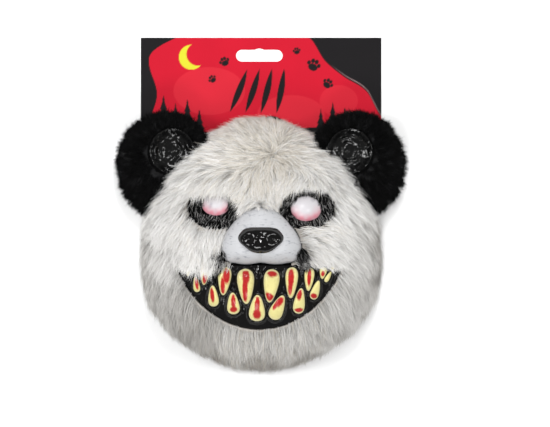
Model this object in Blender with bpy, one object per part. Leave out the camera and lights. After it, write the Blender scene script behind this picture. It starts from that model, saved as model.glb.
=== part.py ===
"""A bear mask of moulded latex and long faux fur, on the card that it hangs from in a shop.

The mask lies on its back: +Z points out of the face, +Y to the top of the head and +X to the
viewer's right. Everything is in metres, on the floor at Z 0.
"""

import math

import bmesh
import bpy
from mathutils import Vector

# Driving sizes of the head. An outline's angle runs from -90 at the chin to 90 at the crown, the
# same on both sides.
HEAD_RADIUS = 0.125
FUR_DEPTH = 0.013
BACKING = 0.0025
LATEX_WALL = 0.002
SHELL_DEPTH = 0.080
SEAT_GAP = 0.0004
COLUMNS = 64
# Openings start this share of a column round, so that no corner falls on a column of the pelt.
CUT_PHASE = 0.3
HEAD_OUTLINE = (
    # angle, share of HEAD_RADIUS
    (-90, 1.025),
    (-57, 1.02),
    (-27, 1.03),
    (0, 0.975),
    (25, 0.955),
    (52, 0.945),
    (72, 0.99),
    (90, 1.04),
)
FULL_OUT = 2.5
FULL_UP = 2.1
SHELL_SWINGS = (0, 14, 27, 40, 52, 63, 73, 82, 90)

# Fur: rows of pointed locks from the nose to the rim. A lock is a ridge between two hollows, and
# has three points. On the forehead the inner rows hang towards the eyes, and all others lie
# outwards.
FUR_ROWS = 5
FUR_START_SWING = 8.0
FUR_HEM_SWING = 89.0
HEM_THICKNESS = 0.004
HANGING_ROWS = 3
HANGING_FROM = 25.0
HANGING_FULLY = 55.0
RIDGE_OUT = (
    # share of the row's width, share of the pile
    (0.0, 0.25),
    (0.45, 0.75),
    (0.96, 1.0),
)
HOLLOW_OUT = (
    (0.0, 0.2),
    (0.42, 0.35),
    (0.74, 0.3),
)
RIDGE_HANGING = (
    (0.12, 1.0),
    (0.55, 0.75),
    (0.94, 0.25),
)
HOLLOW_HANGING = (
    (0.26, 0.3),
    (0.5, 0.35),
    (0.94, 0.2),
)
FUR_PILLOWS = (
    # x share, y share of HEAD_RADIUS, spread share, share of FUR_DEPTH
    (-0.38, 0.52, 0.17, 0.42),
    (0.38, 0.52, 0.17, 0.42),
    (0.0, 0.42, 0.20, 0.35),
    (-0.55, -0.02, 0.20, 0.55),
    (0.55, -0.02, 0.20, 0.55),
    (0.0, -0.86, 0.30, 0.25),
)

# Snout and nose. Angles are as for the head, about the snout's own middle.
SNOUT_HALF_WIDTH = 0.040
SNOUT_RISE = 0.036
SNOUT_OUTLINE = (
    # angle, share of SNOUT_HALF_WIDTH
    (-90, 0.50),
    (-67, 0.58),
    (-40, 0.80),
    (-26, 1.0),
    (-10, 1.03),
    (0, 1.0),
    (12, 0.94),
    (32, 0.87),
    (57, 0.88),
    (72, 0.95),
    (90, 1.05),
)
SNOUT_PROFILE = (
    # share out from the middle, share of the height
    (0.0, 1.0),
    (0.30, 0.985),
    (0.50, 0.94),
    (0.68, 0.82),
    (0.82, 0.62),
    (0.93, 0.34),
    (1.0, 0.0),
)
BRIDGE_PROFILE = (
    # the same on the side towards the brow
    (0.0, 1.0),
    (0.30, 0.95),
    (0.50, 0.84),
    (0.68, 0.67),
    (0.82, 0.47),
    (0.93, 0.25),
    (1.0, 0.0),
)
SNOUT_COLUMNS = 32
SNOUT_SEAT = 0.005
CLEFT_DEPTH = 0.0022
CLEFT_HALF_WIDTH = 0.0022

NOSE_Y = 0.0035
NOSE_HALF_WIDTH = 0.0226
NOSE_HEIGHT = 0.0075
NOSE_OUTLINE = (
    # angle, share of NOSE_HALF_WIDTH
    (-90, 0.62),
    (-46, 0.70),
    (-23, 0.79),
    (-5, 0.96),
    (6, 1.0),
    (18, 0.94),
    (32, 0.85),
    (46, 0.71),
    (68, 0.57),
    (90, 0.53),
)
NOSE_EDGE = 0.0012
NOSE_SHARES = (0.25, 0.5, 0.72, 0.9, 1.0)
NOSE_COLUMNS = 24
NOSTRIL_X = 0.0125
NOSTRIL_RADIUS = 0.0052
NOSTRIL_DEPTH = 0.0040

# Mouth: a crescent panel, a little to the viewer's left.
MOUTH_X = -0.0015
MOUTH_HALF_WIDTH = 0.082
MOUTH_TOP = -0.0226
MOUTH_DROP = 0.0634
MOUTH_ROUNDNESS = 0.72
MOUTH_PANEL = 0.0028
MOUTH_PILLOW = 0.0014
MOUTH_SLICES = 26
MOUTH_STEPS = 5
MOUTH_UPPER_EDGE = (
    # share of MOUTH_HALF_WIDTH, rise above MOUTH_TOP as a share of MOUTH_DROP
    (0.0, 0.0),
    (0.38, 0.0),
    (0.54, 0.05),
    (0.70, 0.02),
    (1.0, 0.02),
)
MOUTH_CLEARANCE = 0.0012
CUT_BELOW = 0.004
CUT_ABOVE = 0.034

# Teeth: the middle of each as shares of MOUTH_HALF_WIDTH and MOUTH_DROP, its width and length as
# shares of TOOTH_WIDTH and TOOTH_LENGTH, and its lean. Upper teeth point down, lower ones up.
TOOTH_WIDTH = 0.0174
TOOTH_LENGTH = 0.0352
TOOTH_HEIGHT = 0.0042
TOOTH_COLUMNS = 10
TOOTH_PROFILE = (
    # share out from the middle, share of the height
    (0.55, 0.86),
    (0.88, 0.5),
    (1.0, 0.12),
    (1.0, 0.0),
)
TOOTH_TAPER = 0.38
TOOTH_PINCH = 0.10
TEETH = (
    # name, across, down from MOUTH_TOP, width, length, lean in degrees, way it points
    ("tooth_upper_1", -0.862, 0.100, 0.26, 0.26, -12, -1),
    ("tooth_upper_2", -0.664, 0.165, 0.50, 0.52, -6, -1),
    ("tooth_upper_3", -0.427, 0.244, 0.78, 0.82, -5, -1),
    ("tooth_upper_4", -0.165, 0.331, 1.00, 1.00, 2, -1),
    ("tooth_upper_5", 0.140, 0.323, 0.92, 0.95, -6, -1),
    ("tooth_upper_6", 0.389, 0.273, 0.74, 0.88, -3, -1),
    ("tooth_upper_7", 0.603, 0.221, 0.58, 0.66, -4, -1),
    ("tooth_upper_8", 0.772, 0.122, 0.42, 0.34, -8, -1),
    ("tooth_upper_9", 0.890, 0.042, 0.22, 0.13, -20, -1),
    ("tooth_lower_1", -0.767, 0.300, 0.40, 0.44, 8, 1),
    ("tooth_lower_2", -0.562, 0.483, 0.62, 0.60, 4, 1),
    ("tooth_lower_3", -0.319, 0.599, 0.74, 0.62, 4, 1),
    ("tooth_lower_4", -0.028, 0.672, 0.94, 0.75, -2, 1),
    ("tooth_lower_5", 0.225, 0.662, 0.80, 0.74, -24, 1),
    ("tooth_lower_6", 0.488, 0.560, 0.68, 0.73, -8, 1),
    ("tooth_lower_7", 0.684, 0.388, 0.50, 0.56, -18, 1),
    ("tooth_lower_8", 0.836, 0.180, 0.27, 0.34, -30, 1),
)

# Eyes: blind bulges in dark sockets, with a slit to see through under each.
EYES = (
    # name, x, y, half width, half height
    ("eye_left", -0.0450, 0.0400, 0.0145, 0.0135),
    ("eye_right", 0.0450, 0.0345, 0.0156, 0.0136),
)
EYE_RISE = 0.0095
EYE_WALL = 0.0015
EYE_COLUMNS = 20
EYE_PROFILE = (
    # share out from the middle, share of the rise
    (0.35, 0.95),
    (0.65, 0.78),
    (0.88, 0.48),
    (1.0, 0.0),
)
SOCKET_X = 0.0445
SOCKET_Y = 0.0345
SOCKET_HALF_WIDTH = 0.0275
SOCKET_HALF_HEIGHT = 0.0220
SLIT_LENGTH = 0.018
SLIT_HEIGHT = 0.005
SLIT_BELOW_EYE = 0.0030

# Ears: a furry ring on the side of the head round a bare latex cup.
EAR_X = 0.0960
EAR_Y = 0.0785
EAR_HALF_WIDTH = 0.0490
EAR_HALF_HEIGHT = 0.0560
EAR_TOP = 0.036
EAR_BOTTOM = 0.005
EAR_LOCK = 0.0045
EAR_SEAT = 0.0016
CUP_X = 0.0860
CUP_Y = 0.0900
CUP_RADIUS = 0.0250
CUP_DEPTH = 0.012
CUP_RIDGE = 0.0018
EAR_COLUMNS = 32
CUP_COLUMNS = 24
RECESS_RIM = 0.22
EAR_PROFILE = (
    # share from the recess to the ear's edge, share of the height, whether it has locks
    (0.22, 0.94, True),
    (0.42, 0.86, False),
    (0.68, 0.88, True),
    (0.86, 0.64, False),
    (1.0, 0.45, True),
    (0.86, 0.14, False),
    (0.45, 0.0, False),
)
CUP_PROFILE = (
    # share out from the middle, share of the depth, whether it is a fold
    (0.20, 0.06, True),
    (0.36, 0.10, False),
    (0.52, 0.22, True),
    (0.68, 0.30, False),
    (0.84, 0.58, True),
    (0.97, 0.60, False),
)

# Elastic band across the open back.
STRAP_Y = 0.022
STRAP_WIDTH = 0.020
STRAP_THICKNESS = 0.0014
STRAP_FLOOR = 0.0010
STRAP_WAVE = 0.0022
STRAP_TABS = (70, 77, 84)
STRAP_RUN = (
    # share of the way from the middle to the wall, height in waves
    (0.93, 2.4),
    (0.86, 0.0),
    (0.66, 1.0),
    (0.46, 0.0),
    (0.24, 1.0),
    (0.0, 0.0),
)

# Card, with a slot for the peg of a shop rail.
CARD_WIDTH = 0.2415
CARD_HEIGHT = 0.118
CARD_THICKNESS = 0.0008
CARD_TOP = 0.2055
SLOT_Y = 0.1875
SLOT_WIDTH = 0.047
SLOT_HEIGHT = 0.012
SLOT_BUMP_RADIUS = 0.0083
SLOT_BUMP_RISE = 0.001
SLOT_STEPS = 6

RIM_Z = CARD_THICKNESS + SEAT_GAP


def smooth_table(rows, x):
    """The second column at x, on a smooth curve through the rows that is level at both ends."""
    last = len(rows) - 1
    x = min(max(x, rows[0][0]), rows[last][0])
    i = max(k for k in range(last) if rows[k][0] <= x)

    def slope(k):
        if k in (0, last):
            return 0.0
        return (rows[k + 1][1] - rows[k - 1][1]) / (rows[k + 1][0] - rows[k - 1][0])

    (x0, y0), (x1, y1) = rows[i], rows[i + 1]
    span = x1 - x0
    t = (x - x0) / span
    return (
        y0 * (1 + 2 * t) * (1 - t) ** 2
        + y1 * t * t * (3 - 2 * t)
        + slope(i) * span * t * (1 - t) ** 2
        - slope(i + 1) * span * t * t * (1 - t)
    )


def elevation(angle):
    """An angle in radians as degrees from -90 at the bottom to 90 at the top, on either side."""
    return math.degrees(math.atan2(math.sin(angle), abs(math.cos(angle))))


def turns(count, start=0.0):
    """Angles once round, starting at the bottom or at a part of a step past it."""
    return [2 * math.pi * (i + start) / count - math.pi / 2 for i in range(count)]


def shell_radius(angle):
    return HEAD_RADIUS * smooth_table(HEAD_OUTLINE, elevation(angle)) - FUR_DEPTH


def dome_base(angle, swing):
    """A point of the latex dome's outside: swing is 0 at the middle and 90 at the rim."""
    out = math.sin(math.radians(swing)) ** (2 / FULL_OUT)
    up = max(math.cos(math.radians(swing)), 0.0) ** (2 / FULL_UP)
    radius = shell_radius(angle) * out
    return Vector((radius * math.cos(angle), radius * math.sin(angle), RIM_Z + SHELL_DEPTH * up))


def dome_point(angle, swing, lift=0.0):
    """A point at this distance above the dome's outside, or below it where lift is negative."""
    if not lift:
        return dome_base(angle, swing)
    step = 0.5
    near = min(max(swing, 2 * step), 90 - step)
    along = dome_base(angle, near + step) - dome_base(angle, near - step)
    turn = math.radians(step)
    across = dome_base(angle + turn, near) - dome_base(angle - turn, near)
    normal = along.cross(across).normalized()
    if swing == 0:
        normal = Vector((0, 0, 1))
    if swing == 90:
        normal = Vector((normal.x, normal.y, 0)).normalized()
    return dome_base(angle, swing) + normal * lift


def over_dome(x, y, lift):
    """The point at this distance above the dome over a point of the face."""
    angle = math.atan2(y, x)
    out = min(math.hypot(x, y) / shell_radius(angle), 1.0)
    return dome_point(angle, math.degrees(math.asin(out ** (FULL_OUT / 2))), lift)


def dome_z(x, y):
    """Height of the dome's outside over a point of the face."""
    out = min(math.hypot(x, y) / shell_radius(math.atan2(y, x)), 1.0)
    return RIM_Z + SHELL_DEPTH * (1 - out**FULL_OUT) ** (1 / FULL_UP)


def material(name, colour, roughness):
    made = bpy.data.materials.new(name)
    made.use_nodes = True
    shader = made.node_tree.nodes["Principled BSDF"]
    shader.inputs["Base Color"].default_value = (*colour, 1.0)
    shader.inputs["Roughness"].default_value = roughness
    made.diffuse_color = (*colour, 1.0)
    return made


def add_object(name, points, faces, look):
    """An object of these points and faces in the face's own frame, with its normals outwards."""
    mesh = bpy.data.meshes.new(name)
    mesh.from_pydata([tuple(p) for p in points], [], faces)
    shape = bmesh.new()
    shape.from_mesh(mesh)
    bmesh.ops.recalc_face_normals(shape, faces=shape.faces)
    shape.to_mesh(mesh)
    shape.free()
    obj = bpy.data.objects.new(name, mesh)
    bpy.context.scene.collection.objects.link(obj)
    if look:
        mesh.materials.append(look)
    obj.parent = face_frame
    return obj


def wrap(name, rings, look, loop=False):
    """One closed body through rings of points. A ring of one point closes an end, and with loop
    the last ring joins the first."""
    points, starts = [], []
    for ring in rings:
        starts.append(len(points))
        points.extend(ring)
    faces = []
    pairs = list(zip(range(len(rings)), range(1, len(rings))))
    if loop:
        pairs.append((len(rings) - 1, 0))
    for a, b in pairs:
        count = max(len(rings[a]), len(rings[b]))
        for i in range(count):
            j = (i + 1) % count
            corners = [starts[a] + i, starts[a] + j, starts[b] + j, starts[b] + i]
            if len(rings[a]) == 1:
                corners = [starts[a], starts[b] + j, starts[b] + i]
            if len(rings[b]) == 1:
                corners = [starts[a] + i, starts[a] + j, starts[b]]
            faces.append(corners)
    return add_object(name, points, faces, look)


def sweep(name, rings, look):
    """One closed body through rings of points, closed by a fan at the first and the last."""
    ends = [[sum(ring, Vector()) / len(ring)] for ring in (rings[0], rings[-1])]
    return wrap(name, [ends[0], *rings, ends[1]], look)


def prism(name, outline, low, high):
    """A hidden cutter with this outline, from low to high."""
    count = len(outline)
    points = [(x, y, z) for z in (low, high) for x, y in outline]
    faces = [list(range(count))[::-1], list(range(count, 2 * count))]
    for i in range(count):
        j = (i + 1) % count
        faces.append([i, j, count + j, count + i])
    return hide(add_object(name, points, faces, None))


def opening(name, outline, middle):
    """A hidden cutter through the pelt, with walls that stand square on the dome."""
    rings = [[over_dome(*middle, -CUT_BELOW)]]
    rings += [[over_dome(x, y, lift) for x, y in outline] for lift in (-CUT_BELOW, CUT_ABOVE)]
    rings.append([over_dome(*middle, CUT_ABOVE)])
    return hide(wrap(name, rings, None))


def hide(obj):
    obj.hide_render = True
    obj.display_type = "WIRE"
    return obj


def cut(obj, cutter):
    cutting = obj.modifiers.new(f"cut_{cutter.name}", "BOOLEAN")
    cutting.operation = "DIFFERENCE"
    cutting.solver = "EXACT"
    cutting.object = cutter


def radius_in(outline, half_width, angle):
    return half_width * smooth_table(outline, elevation(angle))


def snout_outline(margin):
    """The snout's edge, moved outwards by a margin, with its corners between the columns."""
    rows = []
    for angle in turns(SNOUT_COLUMNS, CUT_PHASE):
        radius = radius_in(SNOUT_OUTLINE, SNOUT_HALF_WIDTH, angle) + margin
        rows.append((radius * math.cos(angle), radius * math.sin(angle)))
    return rows


def snout_z(x, y):
    """Height of the snout's outside over a point of the face."""
    angle = math.atan2(y, x)
    radius = radius_in(SNOUT_OUTLINE, SNOUT_HALF_WIDTH, angle)
    share = min(math.hypot(x, y) / radius, 1.0)
    foot = dome_z(radius * math.cos(angle), radius * math.sin(angle)) + SEAT_GAP
    top = RIM_Z + SHELL_DEPTH + SNOUT_RISE
    cleft = CLEFT_DEPTH * math.exp(-((x / CLEFT_HALF_WIDTH) ** 2)) * (1 - share)
    if y > NOSE_Y - NOSE_HALF_WIDTH / 2:
        cleft = 0.0
    bridge = max(math.sin(angle), 0.0) ** 2
    rise = (1 - bridge) * smooth_table(SNOUT_PROFILE, share)
    rise += bridge * smooth_table(BRIDGE_PROFILE, share)
    return foot + (top - foot) * rise - cleft


def mouth_edges(across):
    """Y of the mouth's upper and lower edge at a share of its half width."""
    upper = MOUTH_TOP + MOUTH_DROP * smooth_table(MOUTH_UPPER_EDGE, abs(across))
    drop = MOUTH_DROP * max(1 - across * across, 0.0) ** MOUTH_ROUNDNESS
    return upper, min(MOUTH_TOP - drop, upper - MOUTH_CLEARANCE)


def mouth_z(x, y):
    """Height of the mouth panel's outside, a pillow that is thickest between the edges."""
    upper, lower = mouth_edges((x - MOUTH_X) / MOUTH_HALF_WIDTH)
    share = min(max((upper - y) / (upper - lower), 0.0), 1.0)
    return dome_z(x, y) + SEAT_GAP + MOUTH_PANEL + MOUTH_PILLOW * math.sin(math.pi * share)


def build_shell(look):
    """The moulded latex dome, open at the back, with a hole behind the snout and two eye slits."""
    outer = [[dome_point(a, s) for a in turns(COLUMNS)] for s in SHELL_SWINGS[1:]]
    inner = [
        [dome_point(a, s, -LATEX_WALL) for a in turns(COLUMNS)] for s in reversed(SHELL_SWINGS[1:])
    ]
    crown = [[dome_point(0.0, 0)], [dome_point(0.0, 0, -LATEX_WALL)]]
    shell = wrap("latex_shell", [crown[0], *outer, *inner, crown[1]], look)
    low, high = RIM_Z + SHELL_DEPTH / 4, RIM_Z + SHELL_DEPTH + SNOUT_RISE
    cut(shell, prism("snout_hole", snout_outline(-SNOUT_SEAT), low, high))
    for name, x, y, _, half_height in EYES:
        slit = slot_outline(x, y - half_height - SLIT_BELOW_EYE, SLIT_LENGTH, SLIT_HEIGHT)
        cut(shell, prism(f"slit_{name}", slit, low, high))
    return shell


def slot_outline(x, y, length, height):
    """A slot with round ends."""
    radius = height / 2
    reach = length / 2 - radius
    rows = []
    for side in (1, -1):
        for i in range(SLOT_STEPS + 1):
            angle = math.pi * i / SLOT_STEPS - math.pi / 2
            rows.append(
                (x + side * (reach + radius * math.cos(angle)), y + side * radius * math.sin(angle))
            )
    return rows


def lock_point(angle, row, ring, column):
    """Swing and share of the pile for one point of a row of locks. Ridges and hollows take turns
    round the head, and change places from row to row."""
    is_ridge = (column + row) % 2 == 0
    outwards = RIDGE_OUT if is_ridge else HOLLOW_OUT
    hanging = RIDGE_HANGING if is_ridge else HOLLOW_HANGING
    change = (elevation(angle) - HANGING_FROM) / (HANGING_FULLY - HANGING_FROM)
    down = min(max(change, 0.0), 1.0) if row < HANGING_ROWS else 0.0
    down = down * down * (3 - 2 * down)
    place, height = Vector(outwards[ring]).lerp(Vector(hanging[ring]), down)
    swing = FUR_START_SWING + (FUR_HEM_SWING - FUR_START_SWING) * (row + place) / FUR_ROWS
    return swing, height


def fur_point(angle, row, ring, column):
    swing, height = lock_point(angle, row, ring, column)
    spot = dome_base(angle, swing)
    pile = FUR_DEPTH - BACKING
    for x, y, spread, share in FUR_PILLOWS:
        away = math.hypot(spot.x - x * HEAD_RADIUS, spot.y - y * HEAD_RADIUS)
        height += share * math.exp(-((away / (spread * HEAD_RADIUS)) ** 2))
    return dome_point(angle, swing, BACKING + pile * height)


def build_face_fur(look):
    """The white pelt: a backing cloth over the dome with rows of pointed locks, open round the
    eyes, the snout and the mouth."""
    angles = turns(COLUMNS)
    start = [dome_point(a, FUR_START_SWING, BACKING) for a in angles]
    rows = [
        [fur_point(a, row, ring, i) for i, a in enumerate(angles)]
        for row in range(FUR_ROWS)
        for ring in range(len(RIDGE_OUT))
    ]
    hem = [dome_point(a, FUR_HEM_SWING, HEM_THICKNESS) for a in angles]
    between = [s for s in SHELL_SWINGS if FUR_START_SWING < s < FUR_HEM_SWING]
    under = [FUR_HEM_SWING, *reversed(between), FUR_START_SWING]
    inner = [[dome_point(a, s, SEAT_GAP) for a in angles] for s in under]
    fur = wrap("face_fur", [start, *rows, hem, *inner], look, loop=True)
    cut(fur, opening("snout_opening", snout_outline(MOUTH_CLEARANCE), (0.0, 0.0)))
    cut(fur, build_mouth_opening())
    for side, name in ((-1, "left"), (1, "right")):
        middle = Vector((side * SOCKET_X, SOCKET_Y))
        socket = [
            (
                middle.x + SOCKET_HALF_WIDTH * math.cos(a),
                middle.y + SOCKET_HALF_HEIGHT * math.sin(a),
            )
            for a in turns(EYE_COLUMNS, CUT_PHASE)
        ]
        cut(fur, opening(f"socket_{name}", socket, middle))
    return fur


def build_mouth_opening():
    """The cutter for the pelt round the mouth, which also clears the snout's lower edge."""
    rings = []
    for i in range(MOUTH_SLICES + 1):
        across = 2 * i / MOUTH_SLICES - 1
        upper, lower = mouth_edges(across)
        x = MOUTH_X + across * (MOUTH_HALF_WIDTH + MOUTH_CLEARANCE)
        under_snout = abs(x) < SNOUT_HALF_WIDTH - SNOUT_SEAT
        top = MOUTH_TOP / 2 if under_snout else upper + MOUTH_CLEARANCE
        bottom = lower - MOUTH_CLEARANCE
        edges = ((bottom, -CUT_BELOW), (top, -CUT_BELOW), (top, CUT_ABOVE), (bottom, CUT_ABOVE))
        rings.append([over_dome(x, y, lift) for y, lift in edges])
    return hide(sweep("mouth_opening", rings, None))


def build_snout(look):
    """The bare muzzle, a hollow bulge of latex on the edge of the hole in the shell."""
    shares = [row[0] for row in SNOUT_PROFILE[1:]]

    def ring(share, inset, drop):
        rows = []
        for angle in turns(SNOUT_COLUMNS):
            radius = radius_in(SNOUT_OUTLINE, SNOUT_HALF_WIDTH, angle)
            reach = share * (radius - inset)
            x, y = reach * math.cos(angle), reach * math.sin(angle)
            if share == 1:
                rows.append(Vector((x, y, dome_z(x, y) + SEAT_GAP)))
                continue
            stretch = radius / (radius - inset)
            rows.append(Vector((x, y, snout_z(x * stretch, y * stretch) - drop)))
        return rows

    top = snout_z(0, 0)
    outer = [ring(share, 0, 0) for share in shares]
    inner = [ring(share, LATEX_WALL, LATEX_WALL) for share in reversed(shares)]
    rings = [[Vector((0, 0, top))], *outer, *inner, [Vector((0, 0, top - LATEX_WALL))]]
    return wrap("snout", rings, look)


def build_nose(look):
    """The nose pad, a low cushion with two nostrils, on the front of the snout."""

    def spot(angle, share):
        reach = share * radius_in(NOSE_OUTLINE, NOSE_HALF_WIDTH, angle)
        return reach * math.cos(angle), NOSE_Y + reach * math.sin(angle)

    def front(x, y, share):
        rise = NOSE_HEIGHT * (1 - share**3) ** 0.5
        for side in (-1, 1):
            away = math.hypot(x - side * NOSTRIL_X, y - NOSE_Y) / NOSTRIL_RADIUS
            rise -= NOSTRIL_DEPTH * math.exp(-(away**2))
        return snout_z(x, y) + SEAT_GAP + max(rise, NOSE_EDGE)

    angles = turns(NOSE_COLUMNS)
    outer = [[Vector((*spot(a, s), front(*spot(a, s), s))) for a in angles] for s in NOSE_SHARES]
    back = [
        [Vector((*spot(a, s), snout_z(*spot(a, s)) + SEAT_GAP)) for a in angles]
        for s in reversed(NOSE_SHARES)
    ]
    middle = [Vector((0, NOSE_Y, front(0, NOSE_Y, 0)))]
    behind = [Vector((0, NOSE_Y, snout_z(0, NOSE_Y) + SEAT_GAP))]
    return wrap("nose", [middle, *outer, *back, behind], look)


def build_mouth(look):
    """The black gum panel: a crescent over the dome, made of slices from side to side."""
    reach = 1 - MOUTH_CLEARANCE / MOUTH_HALF_WIDTH
    rings = []
    for i in range(MOUTH_SLICES + 1):
        across = reach * (2 * i / MOUTH_SLICES - 1)
        x = MOUTH_X + across * MOUTH_HALF_WIDTH
        upper, lower = mouth_edges(across)
        ys = [upper + (lower - upper) * k / MOUTH_STEPS for k in range(MOUTH_STEPS + 1)]
        front = [Vector((x, y, mouth_z(x, y))) for y in ys]
        back = [Vector((x, y, dome_z(x, y) + SEAT_GAP)) for y in reversed(ys)]
        rings.append(front + back)
    return sweep("mouth", rings, look)


def build_tooth(row, look):
    """A painted latex tooth: a low dome with a round root and a pointed tip."""
    name, across, down, width, length, lean, way = row
    middle = Vector((MOUTH_X + across * MOUTH_HALF_WIDTH, MOUTH_TOP - down * MOUTH_DROP))
    half_width, half_length = width * TOOTH_WIDTH / 2, length * TOOTH_LENGTH / 2
    tilt = math.radians(lean)

    def spot(angle, share):
        taper = 1 - TOOTH_TAPER * math.sin(angle) - TOOTH_PINCH * math.cos(2 * angle)
        x = share * half_width * math.cos(angle) * taper
        y = share * half_length * math.sin(angle) * way
        return (
            middle.x + x * math.cos(tilt) - y * math.sin(tilt),
            middle.y + x * math.sin(tilt) + y * math.cos(tilt),
        )

    def ring(share, rise):
        rows = []
        for angle in turns(TOOTH_COLUMNS):
            x, y = spot(angle, share)
            rows.append(Vector((x, y, mouth_z(x, y) + SEAT_GAP + rise)))
        return rows

    height = TOOTH_HEIGHT * (1 + width) / 2
    seat = mouth_z(*middle) + SEAT_GAP
    rings = [ring(share, rise * height) for share, rise in TOOTH_PROFILE]
    return wrap(
        name, [[Vector((*middle, seat + height))], *rings, [Vector((*middle, seat))]], look
    )


def build_eye(row, look):
    """A hollow bulge for the eyeball, on the dome in its socket."""
    name, x, y, half_width, half_height = row

    def ring(share, rise, inset):
        rows = []
        for angle in turns(EYE_COLUMNS):
            px = x + share * (half_width - inset) * math.cos(angle)
            py = y + share * (half_height - inset) * math.sin(angle)
            rows.append(Vector((px, py, dome_z(px, py) + SEAT_GAP + rise)))
        return rows

    top = dome_z(x, y) + SEAT_GAP + EYE_RISE
    rings = [[Vector((x, y, top))]]
    rings += [ring(share, EYE_RISE * rise, 0) for share, rise in EYE_PROFILE]
    inside = EYE_RISE - EYE_WALL
    rings += [ring(share, inside * rise, EYE_WALL) for share, rise in reversed(EYE_PROFILE)]
    rings.append([Vector((x, y, top - EYE_WALL))])
    return wrap(name, rings, look)


def ear_outline():
    """The edge of an ear between its locks."""
    return [
        (
            EAR_X + (EAR_HALF_WIDTH - EAR_LOCK) * math.cos(a),
            EAR_Y + (EAR_HALF_HEIGHT - EAR_LOCK) * math.sin(a),
        )
        for a in turns(EAR_COLUMNS)
    ]


def cup_disc(side, radius, z, count):
    """A ring of points round the middle of an ear's cup."""
    return [
        Vector((side * (CUP_X + radius * math.cos(a)), CUP_Y + radius * math.sin(a), z))
        for a in turns(count)
    ]


def build_ear_fur(side, name, look, head):
    """Black fur over the back and edge of an ear, with a recess in front for the cup. Its root
    lies on the pelt."""
    recess = CUP_RADIUS + SEAT_GAP
    floor = EAR_TOP - CUP_DEPTH - 2 * LATEX_WALL
    thick = EAR_TOP - EAR_BOTTOM

    def ring(share, z, lock, shift):
        rows = []
        near_edge = cup_disc(1, recess, z, EAR_COLUMNS)
        for i, (near, (x, y)) in enumerate(zip(near_edge, ear_outline())):
            proud = lock if (i + shift) % 2 == 0 else 0.0
            spot = near.lerp(Vector((x, y, z)), share + proud / EAR_HALF_WIDTH)
            rows.append(Vector((side * spot.x, spot.y, z + proud / 2)))
        return rows

    rings = [
        cup_disc(side, recess, floor, EAR_COLUMNS),
        cup_disc(side, recess, EAR_TOP - RECESS_RIM * thick, EAR_COLUMNS),
    ]
    for shift, (share, rise, has_locks) in enumerate(EAR_PROFILE):
        lock = EAR_LOCK if has_locks else 0.0
        rings.append(ring(share, EAR_BOTTOM + rise * thick, lock, shift // 2))
    ends = [[Vector((side * CUP_X, CUP_Y, z))] for z in (floor, EAR_BOTTOM)]
    ear = wrap(name, [ends[0], *rings, ends[1]], look)
    cut(ear, head)
    return ear


def build_ear_cup(side, name, look, head):
    """The bare inside of an ear: a latex dish with round folds."""
    back = EAR_TOP - CUP_DEPTH - 2 * LATEX_WALL + SEAT_GAP
    front = back + LATEX_WALL
    rings = [[Vector((side * CUP_X, CUP_Y, front))]]
    for share, rise, is_fold in CUP_PROFILE:
        z = front + CUP_DEPTH * rise + (CUP_RIDGE if is_fold else 0.0)
        rings.append(cup_disc(side, share * CUP_RADIUS, z, CUP_COLUMNS))
    rings.append(cup_disc(side, CUP_PROFILE[-1][0] * CUP_RADIUS, back, CUP_COLUMNS))
    rings.append([Vector((side * CUP_X, CUP_Y, back))])
    cup = wrap(name, rings, look)
    cut(cup, head)
    return cup


def build_head_cutter():
    """A hidden solid that holds the whole pelt. It hollows the roots of the ears."""
    lift = FUR_DEPTH + EAR_SEAT
    rings = [[dome_point(0.0, 0, lift)]]
    rings += [[dome_point(a, s, lift) for a in turns(COLUMNS)] for s in SHELL_SWINGS[1:]]
    rings.append([dome_point(a, 90, lift) - Vector((0, 0, RIM_Z)) for a in turns(COLUMNS)])
    rings.append([Vector((0, 0, 0))])
    return hide(wrap("head_cutter", rings, None))


def build_strap(look):
    """The elastic band: its ends lie flat on the inside of the shell, and between them it lies
    slack across the open back."""
    outside = -(LATEX_WALL + SEAT_GAP)
    faces = ((outside, (-1, 0, 1)), (outside - STRAP_THICKNESS, (1, 0, -1)))
    wall_angle = math.atan2(STRAP_Y, shell_radius(0))
    half_turn = math.atan2(STRAP_WIDTH / 2, shell_radius(wall_angle))
    wall_x = dome_point(wall_angle, FUR_HEM_SWING, outside - STRAP_THICKNESS).x

    def tab(side, swing):
        """A section across the band on the shell's wall."""
        rows = []
        for lift, order in faces:
            for k in order:
                spot = dome_point(wall_angle + k * half_turn, swing, lift)
                rows.append(Vector((side * spot.x, spot.y, spot.z)))
        return rows

    def flat(side, share, wave):
        """A section across the band where it lies over the open back."""
        z = STRAP_FLOOR + STRAP_WAVE * wave
        rows = []
        for rise, order in ((0.0, (-1, 0, 1)), (STRAP_THICKNESS, (1, 0, -1))):
            rows += [
                Vector((side * share * wall_x, STRAP_Y + k * STRAP_WIDTH / 2, z + rise))
                for k in order
            ]
        return rows

    left = [tab(-1, swing) for swing in STRAP_TABS]
    left += [flat(-1, share, wave) for share, wave in STRAP_RUN]
    right = [flat(1, share, wave) for share, wave in reversed(STRAP_RUN[:-1])]
    right += [tab(1, swing) for swing in reversed(STRAP_TABS)]
    return sweep("head_strap", left + right, look)


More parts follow.
